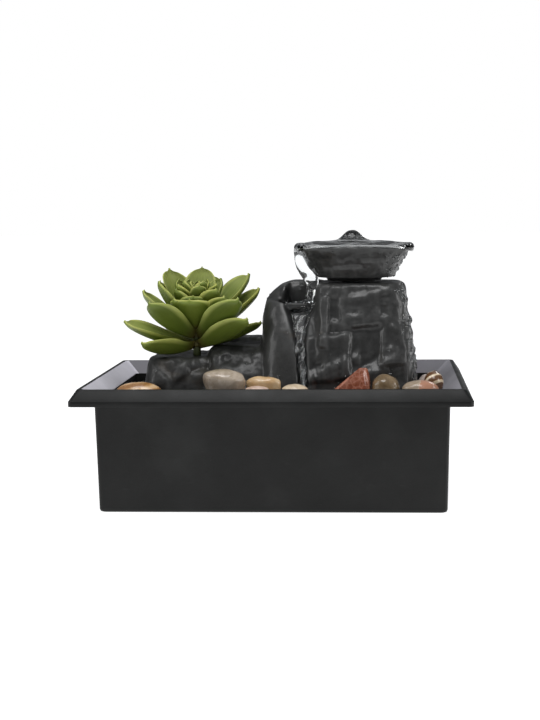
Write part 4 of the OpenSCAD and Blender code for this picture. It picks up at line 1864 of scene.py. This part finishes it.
@dataclass
class Pebbles:
    """All the loose stones, with the colours of a mixed bag of polished river stones."""

    tan: PolishedStone = PolishedStone(
        "stone_tan_banded", (0.30, 0.145, 0.052), (0.50, 0.29, 0.13), (0.66, 0.45, 0.26),
        StonePattern.BANDED, (8, 12, 0), 150.0, 0.2,
    )
    buff: PolishedStone = PolishedStone(
        "stone_grey_buff", (0.22, 0.175, 0.125), (0.38, 0.31, 0.235), (0.55, 0.47, 0.38),
        StonePattern.PLAIN, (20, 0, 10), 110.0, 0.5,
    )
    bean: PolishedStone = PolishedStone(
        "stone_cream_orange", (0.66, 0.52, 0.34), (0.58, 0.38, 0.19), (0.45, 0.24, 0.085),
        StonePattern.PLAIN, (0, 8, 0), 60.0, 0.15,
    )
    pink: PolishedStone = PolishedStone(
        "stone_pale_pink", (0.42, 0.27, 0.2), (0.60, 0.44, 0.35), (0.74, 0.62, 0.53),
        mark=130.0, speckle=0.3,
    )
    cream: PolishedStone = PolishedStone(
        "stone_cream", (0.50, 0.36, 0.22), (0.68, 0.55, 0.39), (0.80, 0.70, 0.56),
        mark=100.0, speckle=0.2,
    )
    brick: PolishedStone = PolishedStone(
        "stone_brick_red", (0.16, 0.038, 0.018), (0.31, 0.095, 0.05), (0.48, 0.20, 0.13),
        StonePattern.JASPER, (0, 25, 30), 260.0, 0.6,
    )
    olive: PolishedStone = PolishedStone(
        "stone_brown_olive", (0.085, 0.055, 0.026), (0.19, 0.13, 0.068), (0.36, 0.27, 0.17),
        mark=90.0, speckle=0.45,
    )
    two_tone: PolishedStone = PolishedStone(
        "stone_two_tone", (0.36, 0.28, 0.20), (0.48, 0.37, 0.27), (0.42, 0.20, 0.12),
        StonePattern.TWO_TONE, (0, 0, 12), 130.0, 0.65,
    )
    striped: PolishedStone = PolishedStone(
        "stone_striped_brown", (0.13, 0.058, 0.022), (0.26, 0.13, 0.052), (0.66, 0.54, 0.38),
        StonePattern.STRIPED, (35, 30, 0), 75.0, 0.25,
    )
    white: PolishedStone = PolishedStone(
        "stone_white_pink", (0.50, 0.38, 0.33), (0.68, 0.57, 0.51), (0.80, 0.74, 0.69),
        mark=120.0, speckle=0.3,
    )

    def build(self) -> None:
        """Builds every stone."""
        for stone in (
            Pebble("pebble_tan_flat", "pebble_tan", self.tan, seed=2),
            Pebble("pebble_grey_buff", "pebble_grey", self.buff, waist=0.72, tilt=-0.12, seed=4),
            Pebble(
                "pebble_cream_bean", "pebble_cream", self.bean, StoneShape.BEAN,
                waist=0.74, flat=0.75, seed=6,
            ),
            Pebble("pebble_pale_pink", "pebble_pink", self.pink, waist=0.66, flat=0.75, seed=8),
            Pebble("pebble_cream", "pebble_cream", self.cream, waist=0.66, flat=0.8, seed=10),
            Pebble("pebble_brick_wedge", "pebble_brick", self.brick, StoneShape.WEDGE, seed=12),
            Pebble("pebble_olive", "pebble_olive", self.olive, waist=0.56, flat=0.9, seed=14),
            Pebble("pebble_two_tone", "pebble_two_tone", self.two_tone, waist=0.6, flat=0.9, seed=16),
            Pebble("pebble_striped_brown", "pebble_striped", self.striped, waist=0.62, seed=18),
            Pebble("pebble_white_pink", "pebble_white", self.white, seed=20),
            Pebble("pebble_right_grey", "pebble_grey", self.buff, seed=22),
            Pebble("pebble_rear_buff", "pebble_grey", self.buff, seed=24),
            Pebble("pebble_rear_olive", "pebble_olive", self.olive, seed=26),
            Pebble("pebble_rear_brick", "pebble_brick", self.brick, seed=28),
            Pebble("pebble_rear_cream", "pebble_cream", self.cream, seed=30),
            Pebble("pebble_rear_brown", "pebble_olive", self.olive, seed=32),
            Pebble("pebble_rear_pink", "pebble_pink", self.pink, seed=34),
        ):
            stone.build()


# ---------------------------------------------------------------- running water


@dataclass(frozen=True)
class Stream:
    """A ribbon of water along a path.

    Each station is (x, y, z, half width, half thickness). The width lies along X.
    """

    name: str
    stations: tuple[tuple[float, float, float, float, float], ...]
    lumps: float = 0.25
    twist: float = 0.0
    seed: int = 1
    steps: int = 90
    around: int = 22

    def build(self, lies_on: str = "") -> Piece:
        """Builds the ribbon as a closed skin.

        Args:
            lies_on: A piece whose front face it runs down. Its stations' y is then how far it
                stands in front of that face.

        Returns:
            The new object.
        """
        marks = np.array(self.stations)
        if lies_on:
            marks = self.laid(marks, bpy.data.objects[lies_on])
        run = np.concatenate([[0], np.cumsum(np.linalg.norm(np.diff(marks[:, :3], axis=0), axis=1))])
        places = np.linspace(0, run[-1], self.steps)
        line = np.column_stack([self.smooth(places, run, marks[:, k]) for k in range(5)])
        turns = np.linspace(0, 2 * math.pi, self.around, endpoint=False)
        rings = []
        ahead = np.gradient(line[:, :3], axis=0)
        for k, (x, y, z, wide, thick) in enumerate(line):
            along = ahead[k] / np.linalg.norm(ahead[k])
            across = np.cross(along, [0.0, 1.0, 0.0])
            across /= np.linalg.norm(across)
            out = np.cross(across, along)
            spin = math.sin(places[k] * 0.42 + self.seed) * self.twist
            close = min(1.0, (min(k, self.steps - 1 - k) + 0.6) / 3.0) ** 0.5
            for_ring = [
                np.array([x, y, z])
                + across * wide * close * math.cos(a + spin)
                + out * thick * close * (math.sin(a + spin) + 0.35 * math.cos(3 * a + places[k] * 0.5))
                for a in turns
            ]
            rings.append(np.array(for_ring))
        points = np.vstack(rings)
        bulge = self.lumps * wobble(points * np.array([1.0, 1.0, 0.5]), 3.2, self.seed, 2)
        piece = lofted(self.name, rings)
        p, n = points_of(piece), normals_of(piece)
        extra = np.zeros(len(p))
        extra[: len(bulge)] = bulge
        move_points(piece, p + n * extra[:, None])
        return piece

    def laid(self, marks: Array, host: Piece) -> Array:
        """Adds stations between those given and drops them all on a front face.

        Args:
            marks: Stations, one row each.
            host: The piece that they lie on.

        Returns:
            The stations in place.
        """
        corners = [vertex.co for vertex in host.data.vertices]
        tree = BVHTree.FromPolygons(corners, [face.vertices for face in host.data.polygons])
        fine = np.linspace(0, len(marks) - 1, 4 * len(marks))
        rows = np.column_stack([np.interp(fine, np.arange(len(marks)), marks[:, k]) for k in range(5)])
        for row in rows:
            start = Vector((row[0] * MM, -0.08, row[2] * MM))
            hit = tree.ray_cast(start, Vector((0.0, 1.0, 0.0)))[0]
            if hit is not None:
                row[1] = hit.y / MM - row[1]
        return rows

    def smooth(self, places: Array, run: Array, values: Array) -> Array:
        """Gives values along the run, eased between the stations.

        Args:
            places: Where values are wanted.
            run: Where the stations lie.
            values: The stations' values.

        Returns:
            The eased values.
        """
        fine = np.interp(places, run, values)
        for _ in range(18):
            fine[1:-1] = 0.25 * fine[:-2] + 0.5 * fine[1:-1] + 0.25 * fine[2:]
        return fine


@dataclass
class BowlPool:
    """The bowl's water: it fills the bowl, stands over the rim and wells up in the middle."""

    swell: float = 2.4
    dome_height: float = 6.0
    dome_radius: float = 6.2
    around: int = 96

    def outline(self, centre: Array, half_x: float, half_y: float, z: float) -> Array:
        """Gives a squared-off oval of points.

        Args:
            centre: The middle.
            half_x: Half the width.
            half_y: Half the depth.
            z: The height.

        Returns:
            The points, one row each.
        """
        a = np.linspace(0, 2 * math.pi, self.around, endpoint=False)
        c, s = np.cos(a), np.sin(a)
        x = centre[0] + half_x * np.sign(c) * np.abs(c) ** 0.74
        y = centre[1] + half_y * np.sign(s) * np.abs(s) ** 0.74
        return np.column_stack([x, y, np.full_like(x, z)])

    def build(self) -> Piece:
        """Builds the pool.

        Returns:
            The new object.
        """
        low, high = low_high("top_bowl")
        flange = low_high("outlet_nozzle")[1]
        centre = (low + high) / 2
        hx, hy = (high[0] - low[0]) / 2, (high[1] - low[1]) / 2
        a = np.linspace(0, 2 * math.pi, self.around, endpoint=False)
        ends = np.abs(np.cos(a)) ** 3 + 0.35 * np.clip(np.sin(a), 0, 1)
        floor = flange[2] + 0.2
        rings = [self.outline(centre, hx * share, hy * share, floor) for share in (0.2, 0.45, 0.66)]
        rings.append(self.outline(centre, hx - 5.6, hy - 5.4, high[2] - 4.0))
        rings.append(self.outline(centre, hx - 2.3, hy - 2.2, high[2] - 0.4))
        over = self.outline(centre, hx - 0.3, hy - 0.4, high[2] + 0.15)
        rings.append(over)
        for out, drop in ((0.7, -2.4), (1.6, -3.4), (2.3, -2.4), (2.5, -0.8), (2.0, 0.6), (1.0, 1.4)):
            ring = self.outline(centre, hx - 0.3, hy - 0.4, high[2] + 0.15)
            away = ring - centre
            away[:, 2] = 0
            away /= np.linalg.norm(away, axis=1, keepdims=True)
            ring += away * (out * ends + 0.1)[:, None]
            ring[:, 2] += np.where(drop < 0, drop * ends + 0.12 * (1 - ends), drop * (0.2 + 0.8 * ends))
            rings.append(ring)
        for share in np.linspace(0.975, 0.03, 40):
            lens = high[2] + 0.5 + self.swell * (1 - share**2) ** 0.5
            rings.append(self.outline(centre, hx * share, hy * share, lens))
        pool = lofted("bowl_pool", rings)
        p = points_of(pool)
        top = p[:, 2] > high[2] + 0.25
        axis = low_high("outlet_nozzle")
        middle = (axis[0] + axis[1]) / 2
        r = np.hypot(p[:, 0] - middle[0], (p[:, 1] - middle[1]) * 1.1)
        dome = self.dome_height * np.exp(-((r / self.dome_radius) ** 2))
        rings_out = 0.42 * np.cos(r * 0.62 - 2.0) * np.exp(-r / 20.0)
        flat = p * np.array([1, 1, 0])
        swell = 0.32 * wobble(flat, 11.0, 31, 2) + 0.5 * wobble(flat, 4.0, 33, 1) * (dome > 0.5)
        edge = ramp01(np.abs(p[:, 0] - centre[0]) / hx, 0.72, 1.0)
        inner = 1 - ramp01(np.hypot((p[:, 0] - centre[0]) / hx, (p[:, 1] - centre[1]) / hy), 0.8, 0.98)
        lift = dome + (rings_out + swell) * (0.25 + 0.75 * inner) + 0.9 * edge * inner
        p[:, 2] += np.where(top, lift, 0.0)
        move_points(pool, p)
        outward(pool)
        return pool


@dataclass
class RunningWater:
    """All the moving water, each stretch on the body that it runs over."""

    fall: Stream = Stream("falling_sheet", (
        (13.8, -7.0, 139.2, 3.6, 1.2), (13.8, -7.5, 136.0, 4.6, 1.9), (15.4, -8.0, 130.0, 5.6, 2.1),
        (17.6, -8.5, 124.4, 5.0, 2.1), (19.8, -8.8, 119.0, 3.6, 2.0), (18.8, -8.8, 113.0, 2.2, 1.8),
        (16.8, -8.8, 106.4, 2.8, 2.0),
    ), lumps=0.14, twist=0.12, seed=2)
    spill: Stream = Stream("cup_spill", (
        (12.8, 0.0, 105.6, 7.6, 0.8), (13.0, 0.1, 101.0, 5.4, 0.9), (13.2, 0.2, 96.0, 3.8, 1.0),
        (13.4, 0.3, 91.0, 2.6, 1.1),
    ), lumps=0.3, seed=5)
    edge_left: Stream = Stream("spill_left", (
        (5.4, 0.2, 108.4, 1.0, 0.8), (7.6, 0.3, 104.4, 0.9, 0.9), (9.4, 0.4, 100.0, 0.9, 0.9),
        (10.4, 0.4, 95.0, 0.8, 0.9), (11.4, 0.4, 88.0, 1.1, 1.0),
    ), lumps=0.22, seed=3)
    edge_right: Stream = Stream("spill_right", (
        (21.2, 0.2, 107.4, 1.0, 0.8), (18.8, 0.3, 103.0, 0.9, 0.9), (16.6, 0.4, 97.0, 0.9, 0.9),
        (15.6, 0.4, 91.0, 1.0, 0.9),
    ), lumps=0.22, seed=4)
    braid_left: Stream = Stream("trickle_left", (
        (11.6, 0.8, 92.0, 1.7, 1.5), (13.6, 0.8, 87.4, 1.4, 1.4), (12.0, 0.8, 82.8, 1.8, 1.5),
        (14.8, 0.8, 78.2, 1.4, 1.4), (13.2, 0.8, 73.6, 1.8, 1.5), (16.2, 0.8, 68.6, 1.6, 1.5),
        (14.4, 0.8, 63.4, 2.0, 1.5), (16.0, 0.6, 58.0, 2.6, 0.8),
    ), lumps=0.25, twist=0.9, seed=8)
    braid_right: Stream = Stream("trickle_right", (
        (15.2, 0.8, 92.4, 1.5, 1.4), (13.4, 0.8, 87.0, 1.3, 1.3), (15.6, 0.8, 82.4, 1.5, 1.4),
        (13.7, 0.8, 77.6, 1.6, 1.4), (16.6, 0.8, 73.0, 1.4, 1.3), (15.0, 0.8, 68.0, 1.7, 1.4),
        (17.8, 0.8, 62.6, 1.8, 1.4), (17.2, 0.6, 58.0, 2.4, 0.8),
    ), lumps=0.25, twist=0.8, seed=11)
    bead_voxel: float = 0.4

    def build(self) -> None:
        """Builds the pool, the falling sheet, the cup's water and the trickle."""
        # The pool is greyed to 0.42: painted shade, so it reads dark.
        still = Water("pool_water", ripple=0.2, wavelength=7.0, shade_tint=0.42).material()
        quick = Water("running_water", ripple=0.12, wavelength=3.0).material()
        # The trickle's whitish streaks are partly froth, partly painted highlight.
        streaked_water = Water("churned_water", ripple=0.12, wavelength=6.0, froth_and_glint=0.2).material()
        finish_piece(BowlPool().build(), "bowl", "wet_rock", still)
        sheet = self.fall.build()
        sheet.data.materials.append(quick)
        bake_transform(sheet, "deck", "bowl", start=(0.0, 0.0, 0.1165), end=(0.0, 0.0, 0.1355))
        LOG.info("%s: %d faces between deck and bowl", sheet.name, len(sheet.data.polygons))
        finish_piece(self.cup_water(), "deck", "wet_rock", quick)
        sheets = (self.spill, self.edge_left, self.edge_right)
        spill = joined("spill", [stream.build("cast_rock") for stream in sheets])
        finish_piece(spill, "deck", "wet_rock", quick)
        strands = (self.braid_left, self.braid_right)
        braid = joined("braided_trickle", [stream.build("cast_rock") for stream in strands])
        finish_piece(braid, "deck", "wet_rock", streaked_water)
        finish_piece(self.tower_film(), "deck", "wet_rock", quick)
        finish_piece(self.bowl_film(), "bowl", "wet_rock", quick)

    def cup_water(self) -> Piece:
        """Makes the churned water in the catch cup.

        Returns:
            The new object.
        """
        turns = np.linspace(0, 2 * math.pi, 56, endpoint=False)
        rings = []
        levels = [(0.5, 103.0), (1.0, 105.0), (1.06, 107.2)]
        levels += [(share, 107.6) for share in np.linspace(1.0, 0.05, 18)]
        for share, z in levels:
            x = 11.2 + 10.2 * share * np.sign(np.cos(turns)) * np.abs(np.cos(turns)) ** 0.8
            y = -8.0 + 6.2 * share * np.sign(np.sin(turns)) * np.abs(np.sin(turns)) ** 0.8
            rings.append(np.column_stack([x, y, np.full_like(x, z)]))
        water = lofted("cup_water", rings)
        p = points_of(water)
        top = p[:, 2] > 107.4
        splash = 1.6 * np.exp(-(((p[:, 0] - 16.4) / 4.2) ** 2 + ((p[:, 1] + 8.8) / 3.5) ** 2))
        p[:, 2] += np.where(top, splash + 0.5 * wobble(p, 3.6, 17, 2), 0.0)
        move_points(water, p)
        return water

    def clinging(
        self, name: str, host: str, keep: Callable[[Array, Array], Array], count: int, size: Pair, seed: int
    ) -> Piece:
        """Makes lumpy water that clings to part of a surface, from merged drops.

        Args:
            name: The piece's name.
            host: The piece that it clings to.
            keep: Takes points and normals, and says which points get water.
            count: How many drops.
            size: Smallest and largest radius of a drop.
            seed: Seed of their places.

        Returns:
            The new object.
        """
        skin = bpy.data.objects[host]
        points, normals = points_of(skin), normals_of(skin)
        wet = np.flatnonzero(keep(points, normals))
        pick = np.random.default_rng(seed)
        work = bmesh.new()
        for k in pick.choice(wet, size=min(count, len(wet)), replace=False):
            radius = size[0] + (size[1] - size[0]) * pick.uniform() ** 2
            place = points[k] - normals[k] * radius * 0.35
            stretch = Matrix.Diagonal((1.0, 1.0, pick.uniform(1.0, 1.6), 1.0))
            put = Matrix.Translation(Vector(place) * MM) @ stretch
            bmesh.ops.create_icosphere(work, subdivisions=2, radius=radius * MM, matrix=put)
        mesh = bpy.data.meshes.new(name)
        work.to_mesh(mesh)
        work.free()
        piece = bpy.data.objects.new(name, mesh)
        bpy.context.scene.collection.objects.link(piece)
        voxel_union(piece, self.bead_voxel)
        move_points(piece, relax(piece, 2))
        return piece

    def tower_film(self) -> Piece:
        """Makes the scalloped water down the tower's right shoulder.

        Returns:
            The new object.
        """
        def keep(p: Array, n: Array) -> Array:
            """Keeps the right face, in front of the middle."""
            side = (p[:, 0] > 64) & (n[:, 0] > 0.55)
            return side & (p[:, 1] > -32) & (p[:, 1] < 8) & (p[:, 2] > 58) & (p[:, 2] < 116)
        return self.clinging("tower_film", "cast_rock", keep, 330, (0.7, 1.7), 41)

    def bowl_film(self) -> Piece:
        """Makes the beads that hang on the bowl's right side.

        Returns:
            The new object.
        """
        def keep(p: Array, n: Array) -> Array:
            """Keeps the right flank under the rim."""
            side = (p[:, 0] > 60) & (n[:, 0] > 0.3) & (n[:, 2] < 0.2)
            return side & (p[:, 2] > 121) & (p[:, 2] < 136.5)
        return self.clinging("bowl_film", "rock_bowl", keep, 90, (0.6, 1.3), 43)


@dataclass
class Droplets:
    """Small drops that cling to a wet surface, scattered by Geometry Nodes."""

    name: str
    body: str
    host: str
    density: float
    smallest: float = 0.25
    largest: float = 1.0
    seed: int = 3

    def tree(self) -> NodeTree:
        """Builds the node tree that scatters the drops.

        Returns:
            A tree with the inputs Geometry, Density, Smallest, Largest, Seed and Finish.
        """
        tree = begin_tree("clinging_drops", {
            "Geometry": "Geometry", "Density": "Float", "Smallest": "Float",
            "Largest": "Float", "Seed": "Int", "Finish": "Material",
        })
        new, link = tree.nodes.new, tree.links.new
        given = new("NodeGroupInput")
        scatter = new("GeometryNodeDistributePointsOnFaces")
        scatter.distribute_method = "RANDOM"
        for name in ("Density", "Seed"):
            link(given.outputs[name], scatter.inputs[name])
        link(given.outputs["Geometry"], scatter.inputs["Mesh"])
        drop, squash = new("GeometryNodeMeshIcoSphere"), new("GeometryNodeTransform")
        drop.inputs["Radius"].default_value = 1.0
        drop.inputs["Subdivisions"].default_value = 2
        squash.inputs["Scale"].default_value = (1.0, 1.0, 0.55)
        link(drop.outputs["Mesh"], squash.inputs["Geometry"])
        size = new("FunctionNodeRandomValue")
        cube = new("ShaderNodeMath")
        copies = new("GeometryNodeInstanceOnPoints")
        size.data_type = "FLOAT"
        cube.operation = "POWER"
        cube.inputs[1].default_value = 2.6
        link(given.outputs["Seed"], size.inputs["Seed"])
        link(size.outputs["Value"], cube.inputs[0])
        grow = new("ShaderNodeMapRange")
        link(cube.outputs[0], grow.inputs["Value"])
        link(given.outputs["Smallest"], grow.inputs["To Min"])
        link(given.outputs["Largest"], grow.inputs["To Max"])
        link(scatter.outputs["Points"], copies.inputs["Points"])
        link(squash.outputs[0], copies.inputs["Instance"])
        link(scatter.outputs["Rotation"], copies.inputs["Rotation"])
        link(grow.outputs[0], copies.inputs["Scale"])
        end_tree(tree, copies, given)
        return tree

    def build(self, look: Material, slot: str) -> None:
        """Scatters the drops over the host piece.

        Args:
            look: The water's material.
            slot: The record's slot that the host takes its finish from.
        """
        drops = bpy.data.objects.new(self.name, bpy.data.objects[self.host].data.copy())
        bpy.context.scene.collection.objects.link(drops)
        run_tree(drops, self.tree(), {
            "Density": self.density, "Smallest": self.smallest * MM, "Largest": self.largest * MM,
            "Seed": self.seed, "Finish": look,
        })
        drops.data.shade_smooth()
        finish_piece(drops, self.body, slot, look)


# ---------------------------------------------------------------- studio


@dataclass
class Studio:
    """Camera, pale floor, soft lights and a white surround."""

    camera_at: Point = (57.375, -785.766, 163.671)
    yaw: float = 2.9044
    pitch: float = 6.4751
    roll: float = -0.4621
    lens: float = 70.31
    shift: float = -0.0556
    horizon_light: float = 0.03
    zenith_light: float = 0.45
    rear_light: float = 0.12

    def camera(self) -> None:
        """Sets the camera."""
        yaw, pitch, roll = (math.radians(a) for a in (self.yaw, self.pitch, self.roll))
        level = math.cos(pitch)
        ahead = Vector((-math.sin(yaw) * level, math.cos(yaw) * level, -math.sin(pitch)))
        right = Vector((math.cos(yaw), math.sin(yaw), 0.0))
        up = right.cross(ahead)
        tilted = math.cos(roll) * right + math.sin(roll) * up
        upright = -math.sin(roll) * right + math.cos(roll) * up
        turn = Matrix((tilted, upright, -ahead)).transposed().to_4x4()
        data = bpy.data.cameras.new("camera")
        data.lens, data.sensor_width, data.shift_x = self.lens, 36.0, self.shift
        data.clip_start, data.clip_end = 0.01, 100.0
        camera = bpy.data.objects.new("camera", data)
        camera.matrix_world = Matrix.Translation(Vector(self.camera_at) * MM) @ turn
        bpy.context.scene.collection.objects.link(camera)
        bpy.context.scene.camera = camera

    def floor(self) -> None:
        """Lays the pale floor."""
        size = 6000.0
        corners = [(-size, -size, -0.2), (size, -size, -0.2), (size, size, -0.2), (-size, size, -0.2)]
        floor = new_piece("floor", np.array(corners), [(0, 1, 2, 3)])
        g = Graph("pale_floor")
        mottle = g.noise(3.0, 3.0)
        tone = g.ramp(mottle, [(0.3, (0.44, 0.44, 0.44)), (0.7, (0.48, 0.48, 0.48))])
        floor.data.materials.append(g.done(
            Base_Color=tone, Roughness=0.7, Emission_Color=(1.0, 1.0, 1.0), Emission_Strength=0.92,
        ))

    def softbox(self, name: str, at: Point, aim: Point, size: Pair, power: float) -> None:
        """Hangs one soft light.

        Args:
            name: Its name.
            at: Its place in millimetres.
            aim: The point that it faces.
            size: Its width and height in millimetres.
            power: Its power in watts.
        """
        data = bpy.data.lights.new(name, "AREA")
        data.shape = "RECTANGLE"
        data.size, data.size_y, data.energy = size[0] * MM, size[1] * MM, power
        lamp = bpy.data.objects.new(name, data)
        lamp.location = Vector(at) * MM
        lamp.rotation_euler = (Vector(at) - Vector(aim)).to_track_quat("Z", "Y").to_euler()
        bpy.context.scene.collection.objects.link(lamp)

    def surround(self) -> None:
        """Sets a surround that shows white and lights softly."""
        world = bpy.data.worlds.new("surround")
        bpy.context.scene.world = world
        world.use_nodes = True
        nodes, link = world.node_tree.nodes, world.node_tree.links.new
        nodes.clear()
        path = nodes.new("ShaderNodeLightPath")
        pick = nodes.new("ShaderNodeMixShader")
        end = nodes.new("ShaderNodeOutputWorld")
        seen = nodes.new("ShaderNodeMath")
        seen.operation = "MAXIMUM"
        shown, lit = nodes.new("ShaderNodeBackground"), nodes.new("ShaderNodeBackground")
        shown.inputs["Color"].default_value = (1.0, 1.0, 1.0, 1.0)
        lit.inputs["Color"].default_value = (0.93, 0.96, 1.0, 1.0)
        place = nodes.new("ShaderNodeTexCoord")
        height = nodes.new("ShaderNodeSeparateXYZ")
        rise = nodes.new("ShaderNodeMapRange")
        link(place.outputs["Generated"], height.inputs[0])
        link(height.outputs["Z"], rise.inputs["Value"])
        rise.inputs["From Min"].default_value = 0.25
        rise.inputs["To Min"].default_value = self.horizon_light
        rise.inputs["To Max"].default_value = self.zenith_light
        behind, total = nodes.new("ShaderNodeMapRange"), nodes.new("ShaderNodeMath")
        link(height.outputs["Y"], behind.inputs["Value"])
        behind.inputs["From Min"].default_value = 0.55
        behind.inputs["To Max"].default_value = self.rear_light
        link(rise.outputs[0], total.inputs[0])
        link(behind.outputs[0], total.inputs[1])
        link(total.outputs[0], lit.inputs["Strength"])
        link(path.outputs["Is Camera Ray"], seen.inputs[0])
        link(path.outputs["Is Transmission Ray"], seen.inputs[1])
        link(seen.outputs[0], pick.inputs[0])
        link(lit.outputs[0], pick.inputs[1])
        link(shown.outputs[0], pick.inputs[2])
        link(pick.outputs[0], end.inputs[0])

    def build(self) -> None:
        """Builds the studio."""
        self.camera()
        self.floor()
        self.surround()
        middle = (0.0, 0.0, 70.0)
        self.softbox("top_light", (-40, -260, 760), middle, (520, 420), 3.6)
        self.softbox("left_light", (-720, -200, 420), middle, (260, 520), 1.7)
        self.softbox("right_light", (720, -160, 300), middle, (200, 520), 1.7)
        self.softbox("rear_glint", (320, 700, 420), middle, (160, 60), 0.25)
        bpy.context.scene.view_settings.view_transform = "Standard"


def main() -> None:
    """Builds the fountain part by part."""
    logging.basicConfig(level=logging.INFO, format="%(name)s: %(message)s")
    Studio().build()
    Basin().build()
    Deck().build()
    Pump().build()
    Rock().build()
    TopBowl().build()
    Plant().build()
    Pebbles().build()
    RunningWater().build()
    drop = Water("drop_water", ripple=0.02).material()
    Droplets("rock_drops", "deck", "cast_rock", 9000.0, seed=7).build(drop, "wet_rock")
    Droplets("bowl_drops", "bowl", "rock_bowl", 9000.0, largest=0.8, seed=9).build(drop, "wet_rock")


if __name__ == "__main__":
    main()
